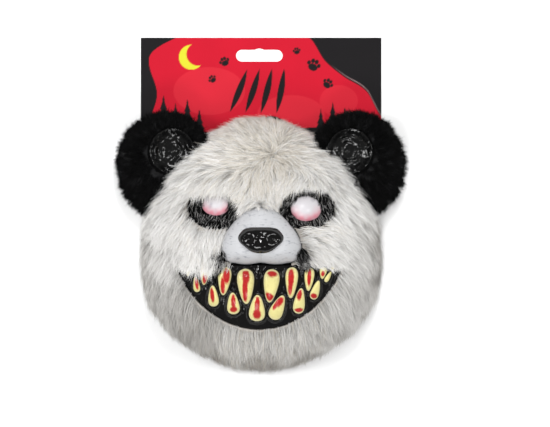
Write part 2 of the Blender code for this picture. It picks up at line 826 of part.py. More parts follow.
def build_card(look):
    """The hanging card, flat behind the top of the mask, with a slot for a peg."""
    right, bottom = CARD_WIDTH / 2, CARD_TOP - CARD_HEIGHT
    corners = [(-right, bottom), (right, bottom), (right, CARD_TOP), (-right, CARD_TOP)]
    points = [Vector((x, y, z)) for z in (0.0, CARD_THICKNESS) for x, y in corners]
    faces = [[3, 2, 1, 0], [4, 5, 6, 7]]
    faces += [[i, (i + 1) % 4, 4 + (i + 1) % 4, 4 + i] for i in range(4)]
    card = add_object("hang_card", points, faces, look)
    below, above = -CARD_THICKNESS, 2 * CARD_THICKNESS
    slot = slot_outline(0.0, SLOT_Y, SLOT_WIDTH, SLOT_HEIGHT)
    cut(card, prism("peg_slot", slot, below, above))
    bump = [
        (SLOT_BUMP_RADIUS * math.cos(a), SLOT_Y + SLOT_BUMP_RISE + SLOT_BUMP_RADIUS * math.sin(a))
        for a in turns(2 * SLOT_STEPS, 0.5)
    ]
    cut(card, prism("peg_bump", bump, below, above))
    return card


for leftover in list(bpy.data.objects):
    bpy.data.objects.remove(leftover, do_unlink=True)

face_frame = bpy.data.objects.new("face_frame", None)
bpy.context.scene.collection.objects.link(face_frame)
# The origin lies in the middle between the card's top edge and the fur at the chin.
chin = fur_point(turns(COLUMNS)[0], FUR_ROWS - 1, len(RIDGE_OUT) - 1, 0)
face_frame.location = (0.0, -(CARD_TOP + chin.y) / 2, 0.0)

black_latex = material("black_latex", (0.012, 0.011, 0.012), 0.22)
white_latex = material("white_latex", (0.62, 0.63, 0.66), 0.5)
white_fur = material("white_fur", (0.62, 0.59, 0.54), 0.9)
black_fur = material("black_fur", (0.012, 0.012, 0.013), 0.9)
tooth_paint = material("tooth_paint", (0.64, 0.55, 0.26), 0.35)
eye_paint = material("eye_paint", (0.66, 0.55, 0.57), 0.3)
elastic = material("elastic", (0.02, 0.02, 0.02), 0.8)
printed_card = material("printed_card", (0.62, 0.02, 0.045), 0.45)

build_shell(black_latex)
build_face_fur(white_fur)
build_snout(white_latex)
build_nose(black_latex)
build_mouth(black_latex)
for tooth in TEETH:
    build_tooth(tooth, tooth_paint)
for eye in EYES:
    build_eye(eye, eye_paint)
head_solid = build_head_cutter()
for ear_side, ear_name in ((-1, "left"), (1, "right")):
    build_ear_fur(ear_side, f"ear_fur_{ear_name}", black_fur, head_solid)
    build_ear_cup(ear_side, f"ear_cup_{ear_name}", black_latex, head_solid)
build_strap(elastic)
build_card(printed_card)
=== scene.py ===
import math

import bmesh
import bpy
import numpy as np
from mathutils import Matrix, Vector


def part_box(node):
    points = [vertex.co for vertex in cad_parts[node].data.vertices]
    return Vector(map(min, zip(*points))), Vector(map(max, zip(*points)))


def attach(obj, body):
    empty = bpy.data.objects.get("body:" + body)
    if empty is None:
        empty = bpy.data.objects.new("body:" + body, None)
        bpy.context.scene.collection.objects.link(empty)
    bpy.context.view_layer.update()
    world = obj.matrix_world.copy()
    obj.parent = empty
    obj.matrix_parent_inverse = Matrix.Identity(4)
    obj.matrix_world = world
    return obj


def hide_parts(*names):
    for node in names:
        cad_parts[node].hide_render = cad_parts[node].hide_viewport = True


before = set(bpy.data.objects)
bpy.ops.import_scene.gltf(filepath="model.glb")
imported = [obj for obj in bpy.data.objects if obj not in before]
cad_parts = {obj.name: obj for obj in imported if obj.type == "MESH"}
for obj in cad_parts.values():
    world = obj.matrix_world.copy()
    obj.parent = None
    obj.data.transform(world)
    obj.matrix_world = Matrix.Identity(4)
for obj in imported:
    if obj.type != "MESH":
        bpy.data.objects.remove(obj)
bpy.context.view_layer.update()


# Latex shell: the front of the head, moulded in black latex about 2 mm thick. It is open behind
# for the face. Its outside carries every other piece, so the shape of the dome is worked out here.
FACE_Y = -0.03745
RIM_Z = 0.0012
HEAD_RADIUS = 0.125
FUR_DEPTH = 0.013
SHELL_DEPTH = 0.080
SEAT_GAP = 0.0004
LATEX_WALL = 0.002
FULL_OUT = 2.5
FULL_UP = 2.1
HEAD_OUTLINE = (
    (-90, 1.025), (-57, 1.02), (-27, 1.03), (0, 0.975), (25, 0.955), (52, 0.945), (72, 0.99), (90, 1.04),
)


def smooth_table(rows, x):
    """The second column of a table at x. Between two rows it is the cubic whose slopes are those
    of the chords over each row's neighbours, and level at the two ends."""
    xs, ys = np.array(rows, float).T
    slopes = np.zeros_like(ys)
    slopes[1:-1] = (ys[2:] - ys[:-2]) / (xs[2:] - xs[:-2])
    x = np.clip(x, xs[0], xs[-1])
    i = np.clip(np.searchsorted(xs, x, side="right") - 1, 0, len(xs) - 2)
    span = xs[i + 1] - xs[i]
    t = (x - xs[i]) / span
    ends = ys[i] * (1 + 2 * t) * (1 - t) ** 2 + ys[i + 1] * t * t * (3 - 2 * t)
    return ends + slopes[i] * span * t * (1 - t) ** 2 - slopes[i + 1] * span * t * t * (1 - t)


def elevation(angle):
    """An angle in radians as degrees from -90 at the chin to 90 at the crown, on either side."""
    return np.degrees(np.arctan2(np.sin(angle), np.abs(np.cos(angle))))


def shell_reach(angle):
    """Distance of the shell's rim from the middle: the head's outline less the depth of the fur."""
    return HEAD_RADIUS * smooth_table(HEAD_OUTLINE, elevation(angle)) - FUR_DEPTH


def dome_z(x, y):
    """Height of the shell's outside: with out = distance / rim distance, the height is the depth
    times (1 - out to the power 2.5) to the power 1 / 2.1. The face's own x and y are used."""
    out = np.minimum(np.hypot(x, y) / shell_reach(np.arctan2(y, x)), 1.0)
    return RIM_Z + SHELL_DEPTH * (1 - out**FULL_OUT) ** (1 / FULL_UP)


def dome_point(angle, swing):
    """A point of the shell's outside, from the swing in radians, 0 at the middle and a quarter
    turn at the rim: it lies at the rim distance times sin(swing) to the power 2 / 2.5, and at the
    depth times cos(swing) to the power 2 / 2.1."""
    reach = shell_reach(angle) * np.sin(swing) ** (2 / FULL_OUT)
    up = np.maximum(np.cos(swing), 0) ** (2 / FULL_UP)
    return np.stack([reach * np.cos(angle), reach * np.sin(angle) + FACE_Y, RIM_Z + SHELL_DEPTH * up], -1)


def dome_normal(points):
    """The outward direction over the shell: the slope of out to the power 2.5 plus up to the
    power 2.1, made one long."""
    x, y = points[..., 0], points[..., 1] - FACE_Y
    reach = np.maximum(np.hypot(x, y), 1e-6)
    rim = shell_reach(np.arctan2(y, x))
    up = np.clip((points[..., 2] - RIM_Z) / SHELL_DEPTH, 0.0, 1.1)
    sideways = FULL_OUT * np.minimum(reach / rim, 1.1) ** (FULL_OUT - 1) / rim
    upwards = FULL_UP * up ** (FULL_UP - 1) / SHELL_DEPTH
    rows = np.stack([sideways * x / reach, sideways * y / reach, upwards], -1)
    return rows / np.linalg.norm(rows, axis=-1, keepdims=True)


def one_long(rows):
    """Each row divided by its own length."""
    return rows / np.maximum(np.linalg.norm(rows, axis=-1, keepdims=True), 1e-9)


def moulded_skin_group():
    """The face of moulded latex: a height made of broad unevenness and fine pores, and a mask of
    scuffs where a stretched noise is high."""
    group = bpy.data.node_groups.new("moulded_skin", "ShaderNodeTree")
    for name, low in (("Pore Scale", 900.0), ("Scuff Scale", 140.0), ("Scuff Amount", 0.5)):
        group.interface.new_socket(name, in_out="INPUT", socket_type="NodeSocketFloat").default_value = low
    group.interface.new_socket("Stretch", in_out="INPUT", socket_type="NodeSocketVector").default_value = (1, 1, 1)
    group.interface.new_socket("Height", in_out="OUTPUT", socket_type="NodeSocketFloat")
    group.interface.new_socket("Scuffs", in_out="OUTPUT", socket_type="NodeSocketFloat")
    nodes, links = group.nodes, group.links
    given, made = nodes.new("NodeGroupInput"), nodes.new("NodeGroupOutput")
    place = nodes.new("ShaderNodeTexCoord")
    pores, swells, scuffs = (nodes.new("ShaderNodeTexNoise") for _ in range(3))
    stretch = nodes.new("ShaderNodeVectorMath")
    stretch.operation = "MULTIPLY"
    links.new(place.outputs["Object"], stretch.inputs[0])
    links.new(given.outputs["Stretch"], stretch.inputs[1])
    for texture, detail in ((pores, 2.0), (swells, 3.0), (scuffs, 6.0)):
        texture.inputs["Detail"].default_value = detail
        links.new(place.outputs["Object"], texture.inputs["Vector"])
    links.new(stretch.outputs[0], scuffs.inputs["Vector"])
    links.new(given.outputs["Pore Scale"], pores.inputs["Scale"])
    links.new(given.outputs["Scuff Scale"], scuffs.inputs["Scale"])
    swells.inputs["Scale"].default_value = 120.0
    height = nodes.new("ShaderNodeMath")
    height.operation = "MULTIPLY_ADD"
    height.inputs[1].default_value = 0.35
    links.new(pores.outputs["Fac"], height.inputs[0])
    links.new(swells.outputs["Fac"], height.inputs[2])
    above = nodes.new("ShaderNodeMapRange")
    above.inputs["From Min"].default_value = 0.56
    above.inputs["From Max"].default_value = 0.72
    links.new(scuffs.outputs["Fac"], above.inputs["Value"])
    amount = nodes.new("ShaderNodeMath")
    amount.operation = "MULTIPLY"
    links.new(above.outputs[0], amount.inputs[0])
    links.new(given.outputs["Scuff Amount"], amount.inputs[1])
    links.new(height.outputs[0], made.inputs["Height"])
    links.new(amount.outputs[0], made.inputs["Scuffs"])
    return group


MOULDED_SKIN = moulded_skin_group()


def latex_finish(name, colour, scuffed, roughness, gloss=0.5, bump=0.15, pores=900.0, scuffs=140.0, amount=0.5,
                 stretch=(1, 1, 1), coat=0.0):
    """Latex in one colour that turns to another where it is scuffed, with pores as bump."""
    look = bpy.data.materials.new(name)
    look.use_nodes = True
    nodes, links = look.node_tree.nodes, look.node_tree.links
    shader = nodes["Principled BSDF"]
    shader.inputs["Roughness"].default_value = roughness
    shader.inputs["Specular IOR Level"].default_value = gloss
    shader.inputs["Coat Weight"].default_value = coat
    shader.inputs["Coat Roughness"].default_value = 0.08
    skin = nodes.new("ShaderNodeGroup")
    skin.node_tree = MOULDED_SKIN
    skin.inputs["Pore Scale"].default_value = pores
    skin.inputs["Scuff Scale"].default_value = scuffs
    skin.inputs["Scuff Amount"].default_value = amount
    skin.inputs["Stretch"].default_value = stretch
    paint = nodes.new("ShaderNodeMix")
    paint.name = "paint"
    paint.data_type = "RGBA"
    paint.inputs["A"].default_value = (*colour, 1)
    paint.inputs["B"].default_value = (*scuffed, 1)
    links.new(skin.outputs["Scuffs"], paint.inputs["Factor"])
    links.new(paint.outputs["Result"], shader.inputs["Base Color"])
    relief = nodes.new("ShaderNodeBump")
    relief.inputs["Strength"].default_value = bump
    relief.inputs["Distance"].default_value = 0.001
    links.new(skin.outputs["Height"], relief.inputs["Height"])
    links.new(relief.outputs["Normal"], shader.inputs["Normal"])
    return look


shell_latex = latex_finish("shell_latex", (0.0012, 0.0012, 0.0012), (0.004, 0.004, 0.004), 0.55, gloss=0.04)
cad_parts["latex_shell"].data.materials.clear()
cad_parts["latex_shell"].data.materials.append(shell_latex)


# Pelt: the woven backing of the fur with its dense undercoat, about 3 mm thick, glued to the
# shell. It is cut out round the snout, the mouth and the eye sockets. Its grey-brown colour, darker than the white fur,
# is painted shade deep among the hairs; the noise between its two tones is the undercoat's own unevenness.
SNOUT_HALF_WIDTH = 0.040
SNOUT_OUTLINE = (
    (-90, 0.50), (-67, 0.58), (-40, 0.80), (-26, 1.0), (-10, 1.03), (0, 1.0), (12, 0.94), (32, 0.87), (57, 0.88),
    (72, 0.95), (90, 1.05),
)
MOUTH_X = -0.0015
MOUTH_HALF_WIDTH = 0.082
MOUTH_TOP = -0.0226
MOUTH_DROP = 0.0634
MOUTH_ROUNDNESS = 0.72
MOUTH_CLEARANCE = 0.0012
MOUTH_UPPER_EDGE = ((0.0, 0.0), (0.38, 0.0), (0.54, 0.05), (0.70, 0.02), (1.0, 0.02))
SOCKET_X = 0.0445
SOCKET_Y = 0.0345
SOCKET_HALF_WIDTH = 0.0275
SOCKET_HALF_HEIGHT = 0.0220
PELT_LIFT = 0.0034
PELT_COLUMNS = 300
PELT_ROWS = 110


def mouth_edges(across):
    """Y of the mouth's upper and lower edge. The lower edge hangs by the drop times (1 - across
    squared) to the power 0.72."""
    upper = MOUTH_TOP + MOUTH_DROP * smooth_table(MOUTH_UPPER_EDGE, np.abs(across))
    drop = MOUTH_DROP * np.maximum(1 - across * across, 0.0) ** MOUTH_ROUNDNESS
    return upper, np.minimum(MOUTH_TOP - drop, upper - MOUTH_CLEARANCE)


def from_bare_parts(x, y):
    """Distance from the nearest cut-out of the pelt, roughly, and below zero inside one."""
    angle, reach = np.arctan2(y, x), np.hypot(x, y)
    snout = reach - SNOUT_HALF_WIDTH * smooth_table(SNOUT_OUTLINE, elevation(angle))
    across = (x - MOUTH_X) / MOUTH_HALF_WIDTH
    upper, lower = mouth_edges(np.clip(across, -1, 1))
    mouth = np.maximum(np.maximum(y - upper, lower - y), (np.abs(across) - 1) * MOUTH_HALF_WIDTH)
    strip = np.maximum(np.abs(x) - 0.030, np.abs(y + 0.020) - 0.004)
    sockets = np.hypot((np.abs(x) - SOCKET_X) / SOCKET_HALF_WIDTH, (y - SOCKET_Y) / SOCKET_HALF_HEIGHT) - 1
    return np.minimum(np.minimum(np.minimum(snout, mouth), strip), sockets * SOCKET_HALF_HEIGHT)


def mesh_piece(name, points, faces, look, smooth=True, outwards=False):
    """A piece of the object from an array of points and an array of equal faces."""
    mesh = bpy.data.meshes.new(name)
    mesh.from_pydata(points.reshape(-1, 3).tolist(), [], faces.tolist())
    if outwards:
        shape = bmesh.new()
        shape.from_mesh(mesh)
        bmesh.ops.recalc_face_normals(shape, faces=shape.faces)
        shape.to_mesh(mesh)
        shape.free()
    mesh.polygons.foreach_set("use_smooth", np.full(len(mesh.polygons), smooth))
    mesh.materials.append(look)
    piece = bpy.data.objects.new(name, mesh)
    bpy.context.scene.collection.objects.link(piece)
    return piece


def coat_finish(name, low, high, scale=260.0):
    """Short undercoat: two tones mixed by a noise that is long down the face."""
    look = bpy.data.materials.new(name)
    look.use_nodes = True
    nodes, links = look.node_tree.nodes, look.node_tree.links
    shader = nodes["Principled BSDF"]
    shader.inputs["Roughness"].default_value = 0.9
    shader.inputs["Specular IOR Level"].default_value = 0.1
    place, stretch, noise, tones = (
        nodes.new(kind) for kind in
        ("ShaderNodeTexCoord", "ShaderNodeMapping", "ShaderNodeTexNoise", "ShaderNodeMix")
    )
    stretch.inputs["Scale"].default_value = (1.0, 0.35, 0.6)
    noise.inputs["Scale"].default_value = scale
    noise.inputs["Detail"].default_value = 4.0
    tones.data_type = "RGBA"
    tones.inputs["A"].default_value = (*low, 1)
    tones.inputs["B"].default_value = (*high, 1)
    relief = nodes.new("ShaderNodeBump")
    relief.inputs["Strength"].default_value = 0.6
    relief.inputs["Distance"].default_value = 0.001
    links.new(place.outputs["Object"], stretch.inputs["Vector"])
    links.new(stretch.outputs["Vector"], noise.inputs["Vector"])
    links.new(noise.outputs["Fac"], tones.inputs["Factor"])
    links.new(tones.outputs["Result"], shader.inputs["Base Color"])
    links.new(noise.outputs["Fac"], relief.inputs["Height"])
    links.new(relief.outputs["Normal"], shader.inputs["Normal"])
    return look


def lay_pelt():
    """Grid over the shell by angle and swing, raised by the backing. Faces over a cut-out are
    left away, and the points on their border move down the slope of the distance to its edge."""
    angle = np.linspace(-np.pi, np.pi, PELT_COLUMNS, endpoint=False)
    swing = np.linspace(math.radians(7), math.radians(89.5), PELT_ROWS)
    angles, swings = np.meshgrid(angle, swing)
    base = dome_point(angles, swings)
    i = np.arange(PELT_COLUMNS)
    rows = np.arange(PELT_ROWS - 1)[:, None]
    near, far = rows * PELT_COLUMNS + i, (rows + 1) * PELT_COLUMNS + i
    around = (i + 1) % PELT_COLUMNS
    faces = np.stack([near, far, (rows + 1) * PELT_COLUMNS + around, rows * PELT_COLUMNS + around], -1).reshape(-1, 4)
    flat = base.reshape(-1, 3)
    middles = flat[faces].mean(1)
    kept = from_bare_parts(middles[:, 0], middles[:, 1] - FACE_Y) > 0
    border = np.intersect1d(faces[kept], faces[~kept])
    x, y, step = flat[border, 0], flat[border, 1] - FACE_Y, 1e-5
    for _ in range(3):
        here = from_bare_parts(x, y)
        slope_x = (from_bare_parts(x + step, y) - here) / step
        slope_y = (from_bare_parts(x, y + step) - here) / step
        steep = np.maximum(slope_x**2 + slope_y**2, 0.3)
        x, y = x - here * slope_x / steep, y - here * slope_y / steep
    flat[border] = np.stack([x, y + FACE_Y, dome_z(x, y)], -1)
    flat += dome_normal(flat) * PELT_LIFT
    used = np.unique(faces[kept])
    place = np.zeros(len(flat), int)
    place[used] = np.arange(len(used))
    flat[:, 2] = np.maximum(flat[:, 2], RIM_Z + 0.0006)
    return flat[used], place[faces[kept]]


# The undercoat's grey-brown tones are painted shade under the hair.
shaded_pelt_coat = coat_finish("shaded_pelt_coat", (0.24, 0.22, 0.20), (0.50, 0.47, 0.43))
pelt = mesh_piece("pelt", *lay_pelt(), shaded_pelt_coat)
thick = pelt.modifiers.new("backing", "SOLIDIFY")
thick.thickness = PELT_LIFT - 0.0008
thick.offset = -1
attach(pelt, "root")
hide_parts("face_fur")


# White fur: long faux fur of the pelt, combed by hand. It parts in a swirl on the forehead, hangs
# over the brows and the mouth's corners, and lies outwards on the sides and the chin.
FUR_LIE = (
    # spots in mm right of the face's middle and above it, way in degrees from +X, length in mm,
    # tone from dark 0 to white 1, tan from 0 to 1. The tone is the fur's own tone together with painted shade: lower
    # towards the chin and the outer sides, most on the right side, where the fur curves away from the light.
    (8, 127, 95, 12, 0.44, 0.55), (-28, 123, 128, 15, 0.52, 0.40), (36, 119, 55, 14, 0.50, 0.35),
    (-62, 106, 158, 24, 0.76, 0.10), (-84, 84, 178, 27, 0.82, 0.05), (-97, 58, 216, 24, 0.82, 0.00),
    (60, 104, -28, 15, 0.74, 0.10), (78, 84, -44, 20, 0.80, 0.00), (92, 58, -64, 23, 0.82, 0.00),
    (-7, 112, 136, 16, 0.64, 0.50), (-20, 102, 150, 17, 0.72, 0.45), (24, 111, 58, 14, 0.62, 0.45),
    (-39, 106, 160, 18, 0.74, 0.25), (40, 101, -26, 17, 0.76, 0.30), (12, 98, 134, 14, 0.72, 0.50),
    (-46, 93, 176, 20, 0.82, 0.20), (-26, 91, 188, 16, 0.82, 0.40), (-4, 87, 214, 14, 0.80, 0.55),
    (20, 89, -36, 13, 0.76, 0.60), (32, 84, -74, 15, 0.80, 0.45), (48, 90, -42, 17, 0.82, 0.15),
    (-18, 79, 212, 18, 0.84, 0.45), (-36, 78, 198, 19, 0.86, 0.30), (-52, 82, 170, 18, 0.86, 0.15),
    (4, 77, 256, 19, 0.80, 0.75), (17, 75, 284, 18, 0.80, 0.70), (44, 77, -52, 17, 0.86, 0.25),
    (-66, 72, 242, 22, 0.84, 0.08), (-40, 68, 254, 22, 0.88, 0.22), (-14, 67, 252, 21, 0.84, 0.55),
    (4, 66, 270, 20, 0.82, 0.65), (24, 68, 250, 20, 0.88, 0.35), (44, 67, 232, 21, 0.88, 0.20),
    (60, 74, -64, 20, 0.84, 0.10), (-64, 60, 274, 25, 0.84, 0.12), (-47, 60, 272, 28, 0.86, 0.18),
    (-33, 60, 252, 27, 0.86, 0.25), (-18, 58, 256, 21, 0.86, 0.35), (0, 58, 270, 20, 0.86, 0.45),
    (16, 58, 262, 20, 0.86, 0.35), (30, 57, 236, 24, 0.86, 0.22), (44, 60, 232, 19, 0.86, 0.15),
    (60, 58, 250, 15, 0.86, 0.10), (-76, 50, 272, 18, 0.84, 0.10), (-73, 36, 302, 17, 0.82, 0.05),
    (-18, 46, 236, 16, 0.88, 0.18), (-6, 46, 262, 15, 0.88, 0.20), (6, 46, 276, 15, 0.88, 0.20),
    (20, 46, 238, 16, 0.88, 0.15), (75, 46, 254, 18, 0.86, 0.05), (76, 30, 250, 15, 0.86, 0.00),
    (-86, 42, 242, 23, 0.84, 0.05), (90, 38, -62, 22, 0.82, 0.00), (-90, 20, 252, 23, 0.82, 0.00),
    (90, 16, -60, 23, 0.72, 0.00), (-110, 8, 250, 20, 0.60, 0.00), (110, 10, -66, 20, 0.38, 0.00),
    (-66, 14, 258, 21, 0.82, 0.05), (-46, 8, 262, 22, 0.82, 0.08), (-60, -6, 266, 24, 0.84, 0.05),
    (-46, -4, 272, 22, 0.84, 0.05), (-37, -14, 262, 8, 0.70, 0.05), (-48, -16, 274, 16, 0.84, 0.05),
    (-57, -16, 280, 24, 0.84, 0.05), (-68, -15, 268, 14, 0.82, 0.00), (-80, -12, 258, 10, 0.80, 0.00),
    (-94, -14, 256, 22, 0.72, 0.00), (40, 9, 30, 11, 0.80, 0.15), (54, 13, 4, 16, 0.80, 0.15),
    (66, 14, -14, 18, 0.80, 0.10), (48, 0, -6, 18, 0.78, 0.10), (46, -10, -34, 11, 0.78, 0.05),
    (60, -9, -44, 13, 0.80, 0.05), (72, -12, -46, 11, 0.80, 0.00), (78, 2, -38, 18, 0.76, 0.00),
    (94, -12, -56, 22, 0.70, 0.00), (-112, -22, 256, 20, 0.50, 0.00), (114, -22, -66, 20, 0.32, 0.00),
    (-98, -44, 258, 23, 0.58, 0.00), (98, -44, -64, 23, 0.62, 0.00), (-84, -62, 260, 23, 0.54, 0.00),
    (84, -62, -68, 23, 0.66, 0.00), (-106, -66, 252, 20, 0.34, 0.00), (108, -62, -58, 20, 0.34, 0.00),
    (-60, -80, 264, 23, 0.50, 0.05), (60, -80, -76, 23, 0.62, 0.05), (-28, -92, 268, 22, 0.62, 0.10),
    (0, -92, 270, 22, 0.62, 0.12), (28, -92, -86, 22, 0.64, 0.10), (-80, -92, 256, 22, 0.30, 0.05),
    (82, -92, -64, 22, 0.42, 0.05), (-44, -112, 264, 22, 0.28, 0.25), (0, -108, 270, 22, 0.38, 0.25),
    (40, -112, -82, 22, 0.34, 0.20), (0, -126, 270, 20, 0.24, 0.25), (-60, -120, 258, 20, 0.22, 0.15),
    (62, -118, -70, 20, 0.28, 0.10),
)
LIE_SPREAD = 0.0105
WHITE_TUFTS = 8200
ROOT_SEED = 11
COAT_SEED = 21
ROOT_CLEARANCE = 0.0008
EAST_EDGE, WEST_EDGE = 0.95, 2.2
EAST_CHIN, WEST_CHIN = -0.4, -2.75
CHIN_MIDDLE = -1.57
CROWN_FOOT = 0.078
FRINGES = (
    # extra roots, as left, right, bottom and top of a box on the face, and how many
    (-0.064, -0.030, 0.0572, 0.0625, 110), (0.030, 0.052, 0.0560, 0.0615, 26), (0.0725, 0.0780, 0.024, 0.050, 24),
)


def fur_lie(x, y):
    """Way, length, tone with its painted shade, and tan of the fur at points of the face: the mean of the table's rows,
    each weighted by exp of minus its squared distance over the spread squared, plus a trace of
    the inverse distance to the fourth power, which holds far from every row."""
    table = np.array(FUR_LIE, float)
    across, up, way, length, tone, tan = table.T
    away = (x[:, None] - across / 1000) ** 2 + (y[:, None] - up / 1000) ** 2
    weight = np.exp(-away / LIE_SPREAD**2) + 1e-16 / (away + 1e-6) ** 2
    weight /= weight.sum(1, keepdims=True)
    east = weight @ np.cos(np.radians(way))
    north = weight @ np.sin(np.radians(way))
    return east, north, weight @ length / 1000, weight @ tone, weight @ tan


def over_head(points):
    """Outward directions and fur ways at points over the shell. The way is the table's, turned
    down the wall of the shell, less its part that points out of the surface."""
    normal = dome_normal(points)
    east, north, _, _, _ = fur_lie(points[:, 0], points[:, 1] - FACE_Y)
    way = np.stack([east, north, np.full(len(points), -0.35)], -1)
    return normal, one_long(way - normal * (way * normal).sum(1, keepdims=True))


def hair_coat(name, root, field, length, tone, tan, look, seed, hairs=22, spread=0.0042, width=0.00034,
              rise=(46, 20, 6), gather=(1.0, 0.9, 0.7, 0.45), stray=0.09, turn=7.0):
    """A coat of hair: one mesh of flat ribbons that taper to a point. Every root carries a tuft,
    whose middle line takes three steps along the field's way, raised off the skin by the rise
    angles. Its hairs run beside that line at offsets that shrink by the gather shares. The UV map
    holds a hair's tone along U, and its tan and the share of its length along V."""
    rng = np.random.default_rng(seed)
    count = len(root)
    swerve = np.radians(rng.normal(0, turn, count))[:, None]
    lean = rng.uniform(0.6, 1.35, (count, 1))
    line = [root]
    for k in range(3):
        normal, way = field(line[-1])
        side = np.cross(normal, way)
        course = way * np.cos(swerve * (0.6 + 0.4 * k)) + side * np.sin(swerve * (0.6 + 0.4 * k))
        up = np.radians(rise[k]) * lean
        line.append(line[-1] + (course * np.cos(up) + normal * np.sin(up)) * length[:, None] / 3)
    normal, way = field(root)
    side = np.cross(normal, way)
    tuft = np.repeat(np.arange(count), hairs)
    total = len(tuft)
    round_, far = rng.uniform(0, 2 * np.pi, total), np.sqrt(rng.uniform(0, 1, total)) * spread
    offset = (way[tuft] * np.cos(round_)[:, None] + side[tuft] * np.sin(round_)[:, None]) * far[:, None]
    drift = rng.normal(0, 1, (total, 3)) * (length[tuft] * stray)[:, None]
    drift += normal[tuft] * np.abs(rng.normal(0, 0.35, total) * length[tuft] * stray)[:, None]
    longer = rng.uniform(0.62, 1.12, total)[:, None]
    spots = [
        root[tuft] + (line[k][tuft] - root[tuft]) * longer + offset * gather[k] + drift * (k / 3) ** 1.6
        for k in range(4)
    ]
    roll = rng.normal(0, 0.45, total)[:, None]
    rows = []
    for k, share in enumerate((1.0, 0.95, 0.62)):
        along = one_long(spots[k + 1] - spots[k])
        flat = one_long(np.cross(normal[tuft], along))
        flat = one_long(flat * np.cos(roll) + np.cross(along, flat) * np.sin(roll)) * width * share / 2
        rows += [spots[k] - flat, spots[k] + flat]
    points = np.stack([*rows, spots[3]], 1)
    points[..., 2] = np.maximum(points[..., 2], 0.0007 + 0.0008 * rng.uniform(0, 1, (total, 1)))
    corners = np.array([0, 1, 3, 2, 2, 3, 5, 4, 4, 5, 6])
    loops = (np.arange(total)[:, None] * 7 + corners).ravel()
    starts = (np.arange(total)[:, None] * 11 + np.array([0, 4, 8])).ravel()
    mesh = bpy.data.meshes.new(name)
    mesh.vertices.add(total * 7)
    mesh.vertices.foreach_set("co", points.astype(np.float32).ravel())
    mesh.loops.add(len(loops))
    mesh.loops.foreach_set("vertex_index", loops.astype(np.int32))
    mesh.polygons.add(len(starts))
    mesh.polygons.foreach_set("loop_start", starts.astype(np.int32))
    mesh.update(calc_edges=True)
    mesh.polygons.foreach_set("use_smooth", np.ones(len(starts), bool))
    shade = np.clip(tone[tuft] + rng.normal(0, 0.022, count)[tuft] + rng.normal(0, 0.035, total), 0.02, 0.98)
    tanned = (rng.uniform(0, 1, total) < tan[tuft]).astype(float)
    share = np.array([0, 0, 1 / 3, 1 / 3, 2 / 3, 2 / 3, 1.0])[corners]
    u = np.broadcast_to(shade[:, None], (total, 11))
    v = tanned[:, None] * 0.5 + 0.03 + 0.44 * share
    mesh.uv_layers.new(name="OFBake").data.foreach_set("uv", np.stack([u, v], -1).astype(np.float32).ravel())
    mesh.materials.append(look)
    piece = bpy.data.objects.new(name, mesh)
    bpy.context.scene.collection.objects.link(piece)
    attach(piece, "root")
    return piece


def hair_finish(name, tones, tan_tones, root_shade, roughness=0.6, gloss=0.25):
    """Hair read from the coat's UV map: U picks the tone from one of two ramps, the half of V
    picks the ramp, and the rest of V darkens the hair towards its root as painted shade."""
    look = bpy.data.materials.new(name)
    look.use_nodes = True
    nodes, links = look.node_tree.nodes, look.node_tree.links
    shader = nodes["Principled BSDF"]
    shader.inputs["Roughness"].default_value = roughness
    shader.inputs["Specular IOR Level"].default_value = gloss
    place, parts = nodes.new("ShaderNodeUVMap"), nodes.new("ShaderNodeSeparateXYZ")
    place.uv_map = "OFBake"
    links.new(place.outputs["UV"], parts.inputs[0])
    ramps = []
    for rows in (tones, tan_tones):
        ramp = nodes.new("ShaderNodeValToRGB")
        while len(ramp.color_ramp.elements) < len(rows):
            ramp.color_ramp.elements.new(0.5)
        for element, (spot, colour) in zip(ramp.color_ramp.elements, rows):
            element.position, element.color = spot, (*colour, 1)
        links.new(parts.outputs["X"], ramp.inputs["Fac"])
        ramps.append(ramp)
    doubled, half, along = (nodes.new("ShaderNodeMath") for _ in range(3))
    doubled.operation, doubled.inputs[1].default_value = "MULTIPLY", 2.0
    half.operation, half.inputs[1].default_value = "GREATER_THAN", 0.5
    along.operation = "FRACT"
    links.new(parts.outputs["Y"], doubled.inputs[0])
    links.new(parts.outputs["Y"], half.inputs[0])
    links.new(doubled.outputs[0], along.inputs[0])
    picked, shaded = nodes.new("ShaderNodeMix"), nodes.new("ShaderNodeMix")
    depth = nodes.new("ShaderNodeMapRange")
    depth.inputs["From Max"].default_value = 0.75
    depth.inputs["To Min"].default_value = root_shade
    links.new(along.outputs[0], depth.inputs["Value"])
    for mix in (picked, shaded):
        mix.data_type = "RGBA"
    links.new(half.outputs[0], picked.inputs["Factor"])
    links.new(ramps[0].outputs["Color"], picked.inputs["A"])
    links.new(ramps[1].outputs["Color"], picked.inputs["B"])
    shaded.inputs["A"].default_value = (0, 0, 0, 1)
    links.new(depth.outputs[0], shaded.inputs["Factor"])
    links.new(picked.outputs["Result"], shaded.inputs["B"])
    links.new(shaded.outputs["Result"], shader.inputs["Base Color"])
    return look


white_hair = hair_finish(
    "white_hair",
    ((0.0, (0.05, 0.045, 0.04)), (0.3, (0.25, 0.235, 0.215)), (0.55, (0.53, 0.515, 0.49)), (0.8, (0.86, 0.85, 0.83)),
     (1.0, (0.97, 0.965, 0.955))),
    ((0.0, (0.07, 0.055, 0.04)), (0.3, (0.26, 0.225, 0.18)), (0.6, (0.58, 0.53, 0.45)), (1.0, (0.94, 0.89, 0.80))),
    0.66,
)


